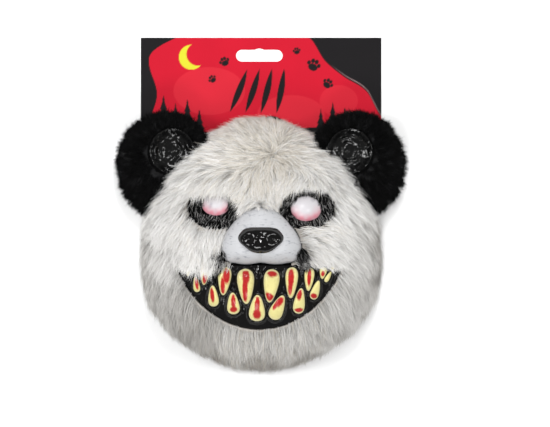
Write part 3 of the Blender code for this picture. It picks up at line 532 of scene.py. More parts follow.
def white_roots():
    """Roots of the white tufts, thrown evenly over the shell's surface by angle and swing, with
    the fringes over the eyes, less those over a cut-out of the pelt."""
    rng = np.random.default_rng(ROOT_SEED)
    angle = rng.uniform(-np.pi, np.pi, WHITE_TUFTS * 12)
    swing = np.radians(rng.uniform(8, 88.5, len(angle)))
    here = dome_point(angle, swing)
    step = 0.004
    around, outwards = dome_point(angle + step, swing) - here, dome_point(angle, swing + step) - here
    area = np.linalg.norm(np.cross(around, outwards), axis=1)
    picked = rng.uniform(0, 1, len(area)) < area / area.max()
    here = here[picked][:WHITE_TUFTS]
    for left, right, low, high, count in FRINGES:
        x, y = rng.uniform(left, right, count), rng.uniform(low, high, count)
        here = np.concatenate([here, np.stack([x, y + FACE_Y, dome_z(x, y)], -1)])
    return here[from_bare_parts(here[:, 0], here[:, 1] - FACE_Y) > ROOT_CLEARANCE]


roots = white_roots()
# The fur's tone carries painted shade, darker towards the chin and the outer sides, most on the right.
_, _, fur_length, fur_tone_and_shade, fur_tan = fur_lie(roots[:, 0], roots[:, 1] - FACE_Y)
roots = roots + dome_normal(roots) * (PELT_LIFT - 0.0004)
turned = np.arctan2(roots[:, 1] - FACE_Y, roots[:, 0])
over_face = (turned > EAST_EDGE) & (turned < WEST_EDGE)
high = roots[:, 1] - FACE_Y > CROWN_FOOT
quarters = {
    "fur_crown": over_face & high,
    "fur_brow": over_face & ~high,
    "fur_left": (turned >= WEST_EDGE) | (turned < WEST_CHIN),
    "fur_right": (turned > EAST_CHIN) & (turned <= EAST_EDGE),
    "fur_chin_left": (turned >= WEST_CHIN) & (turned < CHIN_MIDDLE),
    "fur_chin_right": (turned >= CHIN_MIDDLE) & (turned <= EAST_CHIN),
}
for number, (name, here) in enumerate(quarters.items()):
    coat = hair_coat(
        name, roots[here], over_head, fur_length[here], fur_tone_and_shade[here], fur_tan[here], white_hair, COAT_SEED + number,
    )


# Eye sockets: the latex under the brows is bare and black, with black hair round the eyeball that
# hangs over the slit to see through.
SOCKET_TUFTS = 620
SLIT_TUFTS = 60
SLIT_X = 0.045
SLIT_Y = {-1: 0.0235, 1: 0.0179}
SLIT_HALF_WIDTH = 0.0085
SLIT_HALF_HEIGHT = 0.0026
SOCKET_HAIR = 0.0065
black_hair = hair_finish(
    "black_hair",
    ((0.0, (0.0015, 0.0015, 0.0015)), (0.6, (0.004, 0.004, 0.0042)), (0.9, (0.02, 0.02, 0.021)),
     (1.0, (0.05, 0.05, 0.05))),
    ((0.0, (0.3, 0.3, 0.3)), (0.6, (0.55, 0.54, 0.53)), (1.0, (0.85, 0.84, 0.83))),
    0.6, roughness=0.65, gloss=0.04,
)


def socket_coat(side, seed):
    """Roots in an oval band round an eye, by angle and distance, and rows over the slit. The hair
    lies as the white fur round it does, and downwards under the eye."""
    rng = np.random.default_rng(seed)
    angle = rng.uniform(0, 2 * np.pi, SOCKET_TUFTS)
    reach = np.sqrt(rng.uniform(0.34, 1.0, SOCKET_TUFTS))
    x = side * SOCKET_X + SOCKET_HALF_WIDTH * reach * np.cos(angle)
    y = SOCKET_Y + SOCKET_HALF_HEIGHT * reach * np.sin(angle)
    slit = (np.abs(x - side * SLIT_X) < SLIT_HALF_WIDTH) & (np.abs(y - SLIT_Y[side]) < SLIT_HALF_HEIGHT)
    under = (np.sin(angle) < -0.45) & (rng.uniform(0, 1, SOCKET_TUFTS) < 0.5)
    bare = slit | under
    fringe_x = rng.uniform(side * SLIT_X - 0.010, side * SLIT_X + 0.010, SLIT_TUFTS)
    fringe_y = SLIT_Y[side] + rng.uniform(0.0024, 0.0040, SLIT_TUFTS)
    x, y = np.concatenate([x[~bare], fringe_x]), np.concatenate([y[~bare], fringe_y])
    root = np.stack([x, y + FACE_Y, dome_z(x, y) + 0.0006], -1)

    def field(points):
        normal, way = over_head(points)
        low = np.clip((SOCKET_Y - 0.006 + FACE_Y - points[:, 1:2]) / 0.006, 0, 1)
        mixed = way * (1 - low) + np.array([side * 0.25, -1.0, 0.0]) * low
        return normal, one_long(mixed - normal * (mixed * normal).sum(1, keepdims=True))

    size = np.where(y < SLIT_Y[side] + 0.0045, SOCKET_HAIR, rng.uniform(0.007, 0.012, len(root)))
    tone, pale = rng.uniform(0.1, 0.8, len(root)), np.full(len(root), 0.12)
    name = "socket_hair_left" if side < 0 else "socket_hair_right"
    coat = hair_coat(name, root, field, size, tone, pale, black_hair, seed, hairs=16, spread=0.0024, width=0.00034,
                     rise=(34, 12, 2), turn=10)


for side, seed in ((-1, 31), (1, 32)):
    socket_coat(side, seed)


# Snout: the bare muzzle, a hollow bulge of latex painted white over grey, with fine scratches and
# a groove from the nose to the lip.
SNOUT_RISE = 0.036
NOSE_Y = 0.0035
NOSE_HALF_WIDTH = 0.0226
CLEFT_DEPTH = 0.0022
CLEFT_HALF_WIDTH = 0.0016
SNOUT_PROFILE = ((0.0, 1.0), (0.30, 0.985), (0.50, 0.94), (0.68, 0.82), (0.82, 0.62), (0.93, 0.34), (1.0, 0.0))
BRIDGE_PROFILE = ((0.0, 1.0), (0.30, 0.95), (0.50, 0.84), (0.68, 0.67), (0.82, 0.47), (0.93, 0.25), (1.0, 0.0))


def round_body(name, rings, look):
    """One closed body through rings of points, rings by columns, with a point in the middle of
    the first ring and of the last one that closes it."""
    count, columns = rings.shape[:2]
    points = np.concatenate([rings[0].mean(0)[None], rings.reshape(-1, 3), rings[-1].mean(0)[None]])
    i, nxt = np.arange(columns), (np.arange(columns) + 1) % columns
    rows = np.arange(count - 1)[:, None] * columns + 1
    sides = np.stack([rows + i, rows + columns + i, rows + columns + nxt, rows + nxt], -1).reshape(-1, 4)
    last, end = 1 + (count - 1) * columns, len(points) - 1
    faces = sides.tolist() + [[0, 1 + a, 1 + b] for a, b in zip(i, nxt)]
    faces += [[end, last + b, last + a] for a, b in zip(i, nxt)]
    mesh = bpy.data.meshes.new(name)
    mesh.from_pydata(points.tolist(), [], faces)
    shape = bmesh.new()
    shape.from_mesh(mesh)
    bmesh.ops.recalc_face_normals(shape, faces=shape.faces)
    shape.to_mesh(mesh)
    shape.free()
    mesh.polygons.foreach_set("use_smooth", np.ones(len(mesh.polygons), bool))
    mesh.materials.append(look)
    piece = bpy.data.objects.new(name, mesh)
    bpy.context.scene.collection.objects.link(piece)
    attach(piece, "root")
    return piece


def dress(piece, slot, *nodes):
    """Hides the solids that a piece stands for. The material slot it is given is not used."""
    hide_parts(*nodes)
    return piece


def ripples(x, y, size, seed, waves=9):
    """Smooth unevenness between about -1 and 1: the mean of sine waves of that size, each in a
    direction and phase of its own."""
    rng = np.random.default_rng(seed)
    total = np.zeros_like(x)
    for _ in range(waves):
        turn, phase, scale = rng.uniform(0, 2 * np.pi), rng.uniform(0, 2 * np.pi), rng.uniform(0.7, 1.5)
        total += np.sin((x * np.cos(turn) + y * np.sin(turn)) * 2 * np.pi * scale / size + phase)
    return total / waves * 2


def snout_z(x, y):
    """Height of the snout: from its foot on the shell to its top by a profile over the share of
    the way out, on the bridge side a lower profile by the sine of the angle squared, less a
    groove below the nose."""
    angle = np.arctan2(y, x)
    radius = SNOUT_HALF_WIDTH * smooth_table(SNOUT_OUTLINE, elevation(angle))
    share = np.minimum(np.hypot(x, y) / radius, 1.0)
    foot = dome_z(radius * np.cos(angle), radius * np.sin(angle)) + SEAT_GAP
    top = RIM_Z + SHELL_DEPTH + SNOUT_RISE
    cleft = CLEFT_DEPTH * np.exp(-((x / CLEFT_HALF_WIDTH) ** 2)) * np.clip((1 - share) * 3, 0, 1)
    cleft = cleft * np.clip((NOSE_Y - NOSE_HALF_WIDTH / 2 - y) / 0.003, 0, 1)
    bridge = np.maximum(np.sin(angle), 0.0) ** 2
    rise = (1 - bridge) * smooth_table(SNOUT_PROFILE, share) + bridge * smooth_table(BRIDGE_PROFILE, share)
    return foot + (top - foot) * rise - cleft


def snout_rings():
    """Rings from the top out to the edge and back inside, one wall lower."""
    angle = np.linspace(-np.pi, np.pi, 220, endpoint=False)[None]
    radius = SNOUT_HALF_WIDTH * smooth_table(SNOUT_OUTLINE, elevation(angle))
    share = np.sin(np.linspace(0.02, np.pi / 2, 70))[:, None]
    x, y = share * radius * np.cos(angle), share * radius * np.sin(angle)
    rough = ripples(x, y, 0.012, 5) * 0.00018 * (1 - share**8)
    outer = np.stack([x, y + FACE_Y, snout_z(x, y) + rough], -1)
    slim = (radius - LATEX_WALL) / radius
    drop = np.where(share > 0.995, 0.0, LATEX_WALL)
    inner = np.stack([x * slim, y * slim + FACE_Y, snout_z(x, y) - drop], -1)
    return np.concatenate([outer, inner[::-1][::3]])


snout_paint = latex_finish(
    "snout_paint", (0.50, 0.505, 0.52), (0.20, 0.21, 0.24), 0.55, gloss=0.2, bump=0.5, pores=700.0, scuffs=150.0,
    amount=0.8, stretch=(1.0, 3.6, 1.0),
)
dress(round_body("snout_skin", snout_rings(), snout_paint), "white_latex", "snout")


# Bridge hair: the pelt's fur laps over the pointed top of the snout and lies on it. Black hair
# sticks out beside the snout's lower corners.
BRIDGE_TUFTS = 300
BRIDGE_HAIR = 0.015
BRIDGE_TONE = 0.87
BRIDGE_TAN = 0.25
LIP_TUFTS = 60
LIP_HAIR = 0.012
LIP_REACH = (0.0365, 0.0440)
LIP_SIDES = (("left", -1, -0.0235, -0.0085, 53), ("right", 1, -0.0200, -0.0060, 54))


def over_snout(points):
    """Outward direction of the snout from its slopes in X and Y, and the way down its bridge."""
    x, y, step = points[:, 0], points[:, 1] - FACE_Y, 2e-4
    here = np.maximum(snout_z(x, y), dome_z(x, y))
    slope_x = (np.maximum(snout_z(x + step, y), dome_z(x + step, y)) - here) / step
    slope_y = (np.maximum(snout_z(x, y + step), dome_z(x, y + step)) - here) / step
    normal = one_long(np.stack([-slope_x, -slope_y, np.ones_like(x)], -1))
    way = np.stack([x * 6, np.full_like(x, -1.0), np.zeros_like(x)], -1)
    return normal, one_long(way - normal * (way * normal).sum(1, keepdims=True))


def on_snout(left, right, low, high, count, seed):
    """Roots thrown over a box of the face, on the snout where it lies there."""
    rng = np.random.default_rng(seed)
    x, y = rng.uniform(left, right, count), rng.uniform(low, high, count)
    return np.stack([x, y + FACE_Y, np.maximum(snout_z(x, y), dome_z(x, y) + PELT_LIFT) - 0.0003], -1)


bridge_root = on_snout(-0.0175, 0.0170, 0.0362, 0.0480, BRIDGE_TUFTS, 51)
bridge_root = bridge_root[np.abs(bridge_root[:, 0]) < 0.006 + (bridge_root[:, 1] - FACE_Y - 0.030) * 0.75]
bridge_tone = np.full(len(bridge_root), BRIDGE_TONE)
bridge_hair = hair_coat(
    "fur_bridge", bridge_root, over_snout, bridge_tone * BRIDGE_HAIR, bridge_tone, bridge_tone * BRIDGE_TAN,
    white_hair, 52, rise=(34, 10, 0), spread=0.0030,
)
for word, side, low, high, seed in LIP_SIDES:
    lip_root = on_snout(*sorted(side * reach for reach in LIP_REACH), low, high, LIP_TUFTS, seed)

    def beside(points, side=side):
        normal = dome_normal(points)
        way = np.broadcast_to(np.array([side * 0.45, -1.0, 0.0]), points.shape)
        return normal, one_long(way - normal * (way * normal).sum(1, keepdims=True))

    lip_size, lip_tone, lip_pale = (np.full(len(lip_root), each) for each in (LIP_HAIR, 0.4, 0.15))
    lip_hair = hair_coat(f"lip_hair_{word}", lip_root, beside, lip_size, lip_tone, lip_pale, black_hair, seed,
                         hairs=16, spread=0.0022, width=0.00034, rise=(50, 30, 12), turn=12)


# Nose: a glossy black pad of latex on the front of the snout, with a dent for each nostril.
NOSE_HEIGHT = 0.0075
NOSE_EDGE = 0.0010
NOSE_OUTLINE = (
    (-90, 0.62), (-46, 0.70), (-23, 0.79), (-5, 0.96), (6, 1.0), (18, 0.94), (32, 0.85), (46, 0.71), (68, 0.57),
    (90, 0.53),
)
NOSTRIL_X = 0.0125
NOSTRIL_RADIUS = 0.0050
NOSTRIL_DEPTH = 0.0042


def nose_rings():
    """Rings over the pad, a cushion of height (1 - share cubed) to the power 0.5 less two round
    dents and a shallow cross between them, and back under it on the snout."""
    angle = np.linspace(-np.pi, np.pi, 160, endpoint=False)[None]
    reach = NOSE_HALF_WIDTH * smooth_table(NOSE_OUTLINE, elevation(angle))
    share = np.sin(np.linspace(0.02, np.pi / 2, 54))[:, None]
    x, y = share * reach * np.cos(angle), NOSE_Y + share * reach * np.sin(angle)
    rise = NOSE_HEIGHT * np.sqrt(np.maximum(1 - share**3, 0))
    for side in (-1, 1):
        away = np.hypot(x - side * NOSTRIL_X, (y - NOSE_Y) * 1.1) / NOSTRIL_RADIUS
        rise = rise - NOSTRIL_DEPTH * np.exp(-(away**2))
    middle = np.exp(-((x / 0.0035) ** 2)) * np.exp(-(((y - NOSE_Y + 0.001) / 0.005) ** 2))
    rise = rise - 0.0009 * middle + ripples(x, y, 0.007, 8) * 0.00022 * (1 - share**4)
    outer = np.stack([x, y + FACE_Y, snout_z(x, y) + SEAT_GAP + np.maximum(rise, NOSE_EDGE)], -1)
    back = np.stack([x, y + FACE_Y, snout_z(x, y) + SEAT_GAP * 0.5], -1)
    return np.concatenate([outer, back[::-1][::4]])


black_gloss = latex_finish(
    "black_gloss", (0.0010, 0.0008, 0.0008), (0.002, 0.0018, 0.0018), 0.10, gloss=0.28, bump=0.05, pores=400.0,
    amount=0.4,
)
dress(round_body("nose_pad", nose_rings(), black_gloss), "black_latex", "nose")


# Mouth: the gums, glossy black latex moulded with a raised ring round every tooth and with
# wrinkles that run down to the lip.
MOUTH_PANEL = 0.0028
MOUTH_PILLOW = 0.0014
TOOTH_WIDTH = 0.0174
TOOTH_LENGTH = 0.0352
TOOTH_TAPER = 0.38
TOOTH_PINCH = 0.10
TEETH = (
    # name, across and down as shares of the mouth, width, length, lean, way, and the red strokes:
    # middle across and towards the tip, half width, half length, lean
    ("upper_1", -0.862, 0.100, 0.26, 0.26, -12, -1, ()),
    ("upper_2", -0.664, 0.165, 0.50, 0.52, -6, -1, ((0.1, 0.3, 0.55, 0.6, 0),)),
    ("upper_3", -0.427, 0.244, 0.78, 0.82, -5, -1, ((0.25, -0.35, 0.55, 0.60, -20), (-0.15, 0.35, 0.34, 0.70, -14))),
    ("upper_4", -0.165, 0.331, 1.00, 1.00, 2, -1, ((0.05, -0.55, 0.44, 0.50, 0), (-0.10, 0.15, 0.32, 0.85, 4))),
    ("upper_5", 0.140, 0.323, 0.92, 0.95, -6, -1, ((0.0, -0.85, 0.75, 0.33, 0), (0.05, 0.72, 0.9, 0.27, 12))),
    ("upper_6", 0.389, 0.273, 0.74, 0.88, -3, -1, ((-0.1, -0.3, 0.50, 0.70, -6), (-0.15, 0.30, 0.36, 0.55, 6))),
    ("upper_7", 0.603, 0.221, 0.58, 0.66, -4, -1, ((0.0, -0.2, 0.42, 0.85, 0),)),
    ("upper_8", 0.772, 0.122, 0.42, 0.34, -8, -1, ((0.0, 0.1, 0.5, 0.5, 0),)),
    ("upper_9", 0.890, 0.042, 0.22, 0.13, -20, -1, ()),
    ("lower_1", -0.767, 0.300, 0.40, 0.44, 8, 1, ((0.15, 0.1, 0.55, 0.85, 0),)),
    ("lower_2", -0.562, 0.483, 0.62, 0.60, 4, 1, ((-0.15, 0.1, 0.40, 0.75, 6),)),
    ("lower_3", -0.319, 0.599, 0.74, 0.62, 4, 1, ((0.05, 0.15, 0.38, 0.75, -4), (0.0, -0.55, 0.60, 0.28, 0))),
    ("lower_4", -0.028, 0.672, 0.94, 0.75, -2, 1, ((0.0, 0.2, 0.34, 0.75, 0), (0.0, -0.45, 0.52, 0.42, 0))),
    ("lower_5", 0.225, 0.662, 0.80, 0.74, -24, 1, ((-0.15, 0.45, 0.55, 0.45, 24), (-0.45, 0.0, 0.30, 0.35, 0))),
    ("lower_6", 0.488, 0.560, 0.68, 0.73, -8, 1, ((-0.2, 0.5, 0.45, 0.50, 8), (0.0, -0.80, 0.95, 0.26, 8))),
    ("lower_7", 0.684, 0.388, 0.50, 0.56, -18, 1, ((0.0, -0.65, 0.85, 0.30, 0),)),
    ("lower_8", 0.836, 0.180, 0.27, 0.34, -30, 1, ()),
)


def tooth_share(row, x, y):
    """For points of the face: how far out they lie from a tooth's middle as a share of its edge,
    and how far outside the edge in metres. A tooth's edge is an oval whose width is multiplied
    by 1 - taper sin(a) - pinch cos(2a), which makes a round root and a pointed tip."""
    _, across, down, width, length, lean, way, _ = row
    east = x - (MOUTH_X + across * MOUTH_HALF_WIDTH)
    north = y - (MOUTH_TOP - down * MOUTH_DROP)
    tilt = math.radians(lean)
    a = (east * math.cos(tilt) + north * math.sin(tilt)) / (width * TOOTH_WIDTH / 2)
    b = (-east * math.sin(tilt) + north * math.cos(tilt)) / (length * TOOTH_LENGTH / 2) * way
    turn = np.arctan2(b, a)
    for _ in range(4):
        taper = 1 - TOOTH_TAPER * np.sin(turn) - TOOTH_PINCH * np.cos(2 * turn)
        turn = np.arctan2(b, a / taper)
    share = np.maximum(np.hypot(a / taper, b), 1e-4)
    reach = np.hypot(east, north)
    return share, reach - reach / share


def mouth_z(x, y):
    """Height of the gums before their relief: the shell's height plus the panel and a pillow by
    the sine of the share from the upper edge to the lower one."""
    upper, lower = mouth_edges(np.clip((x - MOUTH_X) / MOUTH_HALF_WIDTH, -1, 1))
    share = np.clip((upper - y) / (upper - lower), 0, 1)
    return dome_z(x, y) + SEAT_GAP + MOUTH_PANEL + MOUTH_PILLOW * np.sin(np.pi * share)


def gum_relief(x, y, share):
    """Rings, furrows and wrinkles of the gums: a round ridge 1.5 mm outside every tooth, furrows
    where two ridges meet, and ripples that grow towards the lip."""
    ridge = np.zeros_like(x)
    near = np.full_like(x, 1.0)
    for row in TEETH:
        _, away = tooth_share(row, x, y)
        broad = 0.0008 + 0.0007 * row[3]
        ridge = np.maximum(ridge, (0.0010 + 0.0008 * row[3]) * np.exp(-(((away - broad * 1.1) / broad) ** 2)))
        ridge = np.where(away < 0, np.minimum(ridge, 0.0002), ridge)
        near = np.minimum(near, np.abs(away))
    open_ = np.clip((near - 0.0016) / 0.002, 0, 1)
    folds = ripples(x, y * 0.35, 0.0075, 3) * 0.0005 + ripples(x, y, 0.005, 4) * 0.00016
    edge = np.clip(np.minimum(share, 1 - share) * 12, 0, 1)
    return (ridge + folds * (0.25 + 0.75 * open_)) * edge


def mouth_rings():
    """Slices from side to side: down the front with the relief, and up the back on the shell."""
    across = np.sin(np.linspace(-np.pi / 2, np.pi / 2, 440)) * 0.35 + np.linspace(-1, 1, 440) * 0.65
    across = across * (1 - MOUTH_CLEARANCE / MOUTH_HALF_WIDTH)
    upper, lower = mouth_edges(across)
    share = np.linspace(0, 1, 128)[None]
    x = np.broadcast_to((MOUTH_X + across * MOUTH_HALF_WIDTH)[:, None], (440, 128))
    y = upper[:, None] + (lower - upper)[:, None] * share
    front = np.stack([x, y + FACE_Y, mouth_z(x, y) + gum_relief(x, y, np.broadcast_to(share, x.shape))], -1)
    back = np.stack([x, y + FACE_Y, dome_z(x, y) + SEAT_GAP], -1)[:, ::-14]
    return np.concatenate([front, back], 1)


dress(round_body("gums", mouth_rings(), black_gloss), "black_latex", "mouth")


# Teeth: bumps of the same latex, painted pale yellow with a brush of red, and left pale round the
# edge. Each sits in its ring of the gums.
TOOTH_HEIGHT = 0.0042


def tooth_finish():
    """Tooth paint: yellow to red by the brush mask broken up with noise, and cream at the rim."""
    look = latex_finish("tooth_paint", (0.66, 0.60, 0.25), (0.50, 0.43, 0.17), 0.34, gloss=0.25, bump=0.25,
                        pores=800.0, scuffs=260.0, amount=0.5, coat=0.15)
    nodes, links = look.node_tree.nodes, look.node_tree.links
    brush, rim, noise = (
        nodes.new(kind) for kind in ("ShaderNodeAttribute", "ShaderNodeAttribute", "ShaderNodeTexNoise")
    )
    brush.attribute_name, rim.attribute_name = "brush", "rim"
    noise.inputs["Scale"].default_value = 420.0
    noise.inputs["Detail"].default_value = 3.0
    place = nodes.new("ShaderNodeTexCoord")
    links.new(place.outputs["Object"], noise.inputs["Vector"])
    broken, edge = nodes.new("ShaderNodeMath"), nodes.new("ShaderNodeMapRange")
    broken.operation, broken.inputs[1].default_value = "MULTIPLY_ADD", 0.4
    links.new(noise.outputs["Fac"], broken.inputs[0])
    links.new(brush.outputs["Fac"], broken.inputs[2])
    edge.inputs["From Min"].default_value = 0.42
    edge.inputs["From Max"].default_value = 0.80
    links.new(broken.outputs[0], edge.inputs["Value"])
    depth, red, cream = nodes.new("ShaderNodeMix"), nodes.new("ShaderNodeMix"), nodes.new("ShaderNodeMix")
    for mix in (depth, red, cream):
        mix.data_type = "RGBA"
    depth.inputs["A"].default_value = (0.50, 0.020, 0.016, 1)
    depth.inputs["B"].default_value = (0.28, 0.001, 0.003, 1)
    links.new(noise.outputs["Fac"], depth.inputs["Factor"])
    links.new(edge.outputs[0], red.inputs["Factor"])
    links.new(nodes["paint"].outputs["Result"], red.inputs["A"])
    links.new(depth.outputs["Result"], red.inputs["B"])
    links.new(rim.outputs["Fac"], cream.inputs["Factor"])
    links.new(red.outputs["Result"], cream.inputs["A"])
    cream.inputs["B"].default_value = (0.68, 0.62, 0.33, 1)
    links.new(cream.outputs["Result"], nodes["Principled BSDF"].inputs["Base Color"])
    return look


def paint_marks(piece, **marks):
    """Keeps one number a point, for the paint to read."""
    for name, values in marks.items():
        kept = piece.data.attributes.new(name, "FLOAT", "POINT")
        kept.data.foreach_set("value", np.asarray(values, np.float32).ravel())


def make_tooth(row, look):
    """Rings from the crown down to the gums: height (1 - share to the power 2.6) to the power 0.6,
    on a footprint of 64 columns, and the strokes of red as soft ovals in its own width and length."""
    name, across, down, width, length, lean, way, strokes = row
    angle = np.linspace(-np.pi, np.pi, 64, endpoint=False)[None]
    share = np.sin(np.linspace(0.03, np.pi / 2, 26))[:, None]
    taper = 1 - TOOTH_TAPER * np.sin(angle) - TOOTH_PINCH * np.cos(2 * angle)
    a = share * np.cos(angle) * taper
    b = share * np.sin(angle) * np.ones_like(a)
    px, py = a * width * TOOTH_WIDTH / 2, b * way * length * TOOTH_LENGTH / 2
    tilt = math.radians(lean)
    x = MOUTH_X + across * MOUTH_HALF_WIDTH + px * math.cos(tilt) - py * math.sin(tilt)
    y = MOUTH_TOP - down * MOUTH_DROP + px * math.sin(tilt) + py * math.cos(tilt)
    seat = mouth_z(x, y)
    height = TOOTH_HEIGHT * (1 + width) / 2
    rise = height * np.maximum(1 - share**2.6, 0) ** 0.6 * (1 + 0.12 * b) + ripples(x, y, 0.006, 12) * 0.00012
    top = np.stack([x, y + FACE_Y, seat + 0.0004 + rise], -1)
    under = np.stack([x, y + FACE_Y, seat + 0.0002 + 0 * rise], -1)
    piece = round_body(f"tooth_{name}_skin", np.concatenate([top, under[::-1][::6]]), look)
    local_a = np.zeros(len(piece.data.vertices))
    local_b, out = local_a.copy(), local_a + 1
    count = top.shape[0] * 64
    local_a[1:count + 1], local_b[1:count + 1] = a.ravel(), b.ravel()
    out[0], out[1:count + 1] = 0, (share * np.ones_like(a)).ravel()
    brush = np.zeros_like(out)
    for sa, sb, wide, long_, turn in strokes:
        c, s = math.cos(math.radians(turn)), math.sin(math.radians(turn))
        da, db = local_a - sa, local_b - sb
        inside = 1.35 - np.hypot((da * c + db * s) / wide, (db * c - da * s) / long_)
        brush = np.maximum(brush, np.clip(inside, 0, 1))
    paint_marks(piece, brush=brush, rim=np.clip((out - 0.86) / 0.06, 0, 1))
    return dress(piece, "tooth_paint", f"tooth_{name}")


tooth_paint = tooth_finish()
for row in TEETH:
    make_tooth(row, tooth_paint)


# Eyes: blind hollow bulges of latex, painted cloudy white with a smear of pink under them, and
# varnished.
EYES = (("left", -0.0450, 0.0400, 0.0145, 0.0135), ("right", 0.0450, 0.0345, 0.0156, 0.0136))
EYE_RISE = 0.0095
EYE_WALL = 0.0015


def eye_finish():
    """Eye paint: cloudy white and grey by two noises, pink by the mark on the lower side."""
    look = latex_finish("eye_paint", (0.56, 0.54, 0.56), (0.42, 0.40, 0.44), 0.30, gloss=0.2, bump=0.12, pores=500.0,
                        scuffs=95.0, amount=0.9, coat=0.12)
    nodes, links = look.node_tree.nodes, look.node_tree.links
    mark, pink = nodes.new("ShaderNodeAttribute"), nodes.new("ShaderNodeMix")
    mark.attribute_name = "pink"
    pink.data_type = "RGBA"
    pink.inputs["B"].default_value = (0.66, 0.20, 0.26, 1)
    links.new(mark.outputs["Fac"], pink.inputs["Factor"])
    links.new(nodes["paint"].outputs["Result"], pink.inputs["A"])
    links.new(pink.outputs["Result"], nodes["Principled BSDF"].inputs["Base Color"])
    return look


def make_eye(row, look):
    """Rings of a bulge: height (1 - share squared) to the power 0.75 over the shell, then back
    inside it. The pink mark rises with the share out and with the way down."""
    name, cx, cy, half_width, half_height = row
    angle = np.linspace(-np.pi, np.pi, 96, endpoint=False)[None]
    share = np.sin(np.linspace(0.03, np.pi / 2, 40))[:, None]
    x, y = cx + share * half_width * np.cos(angle), cy + share * half_height * np.sin(angle)
    rise = EYE_RISE * np.maximum(1 - share**2, 0) ** 0.75
    outer = np.stack([x, y + FACE_Y, dome_z(x, y) + SEAT_GAP + rise], -1)
    slim = 1 - EYE_WALL / half_width
    sx, sy = cx + (x - cx) * slim, cy + (y - cy) * slim
    inner = np.stack([sx, sy + FACE_Y, dome_z(sx, sy) + SEAT_GAP + rise * (1 - EYE_WALL / EYE_RISE)], -1)
    piece = round_body(f"eye_{name}_skin", np.concatenate([outer, inner[::-1][::4]]), look)
    spots = np.zeros(len(piece.data.vertices) * 3, np.float32)
    piece.data.vertices.foreach_get("co", spots)
    spots = spots.reshape(-1, 3)
    u, v = (spots[:, 0] - cx) / half_width, (spots[:, 1] - FACE_Y - cy) / half_height
    out = np.hypot(u, v)
    mark = np.clip((out - 0.35) / 0.5, 0, 1) * np.clip(0.30 - v * 1.1, 0, 1)
    paint_marks(piece, pink=np.clip(mark * (0.8 + 0.25 * ripples(u, v, 0.5, 6)), 0, 1))
    return dress(piece, "eye_paint", f"eye_{name}")


eye_paint = eye_finish()
for row in EYES:
    make_eye(row, eye_paint)


# Ears: stuffed rings of long black fur, sewn to the pelt, each round a bare dish of glossy latex
# with round folds.
EAR_X = 0.0960
EAR_Y = 0.0765
EAR_HALF_WIDTH = 0.0435
EAR_HALF_HEIGHT = 0.0490
EAR_TOP = 0.036
EAR_BOTTOM = 0.005
CUP_X = 0.0890
CUP_Y = 0.0915
CUP_RADIUS = 0.0230
CUP_DEPTH = 0.012
EAR_PROFILE = ((0.0, 0.74), (0.16, 0.84), (0.42, 0.84), (0.68, 0.80), (0.86, 0.64), (1.0, 0.45))
EAR_TUFTS = 1500
FLAP_TUFTS = 240
DISH_RIDGES = 1.6
DISH_RIDGE = 0.0015


def ear_spot(angle, share):
    """A point of an ear's front at an angle round its dish: from the dish's rim to the ear's
    edge by the share, at a height from the profile."""
    near = np.stack([CUP_X + CUP_RADIUS * np.cos(angle), CUP_Y + CUP_RADIUS * np.sin(angle)], -1)
    far = np.stack([EAR_X + EAR_HALF_WIDTH * np.cos(angle), EAR_Y + EAR_HALF_HEIGHT * np.sin(angle)], -1)
    spot = near + (far - near) * share[..., None]
    height = EAR_BOTTOM + (EAR_TOP - EAR_BOTTOM - 0.002) * smooth_table(EAR_PROFILE, share)
    return np.concatenate([spot, height[..., None]], -1)


def ear_rings():
    """Rings of the fur's hide: from under the dish out over the front, round the edge and back
    along the bottom."""
    angle = np.linspace(-np.pi, np.pi, 128, endpoint=False)
    share = np.linspace(0, 1, 22)[:, None]
    angles = np.broadcast_to(angle, (22, 128))
    front = ear_spot(angles, np.broadcast_to(share, (22, 128)))
    middle = np.array([EAR_X, EAR_Y, 0])
    rim = front[-1]
    turn = np.linspace(0.15, 1, 8)[:, None, None]
    back = middle + (rim - middle) * (1 - 0.16 * turn**2)
    back[..., 2] = rim[:, 2] + (EAR_BOTTOM - rim[:, 2]) * turn[..., 0]
    sunk = front[:1] * np.array([1, 1, 0]) + np.array([0, 0, EAR_TOP - CUP_DEPTH - 2 * LATEX_WALL])
    return np.concatenate([sunk, front, back])


ear_coat_look = coat_finish("ear_undercoat", (0.004, 0.004, 0.004), (0.014, 0.014, 0.015))
ear_latex = latex_finish("ear_latex", (0.0010, 0.0010, 0.0010), (0.006, 0.006, 0.006), 0.13, gloss=0.3, bump=0.4,
                         pores=500.0, scuffs=170.0, amount=0.25)


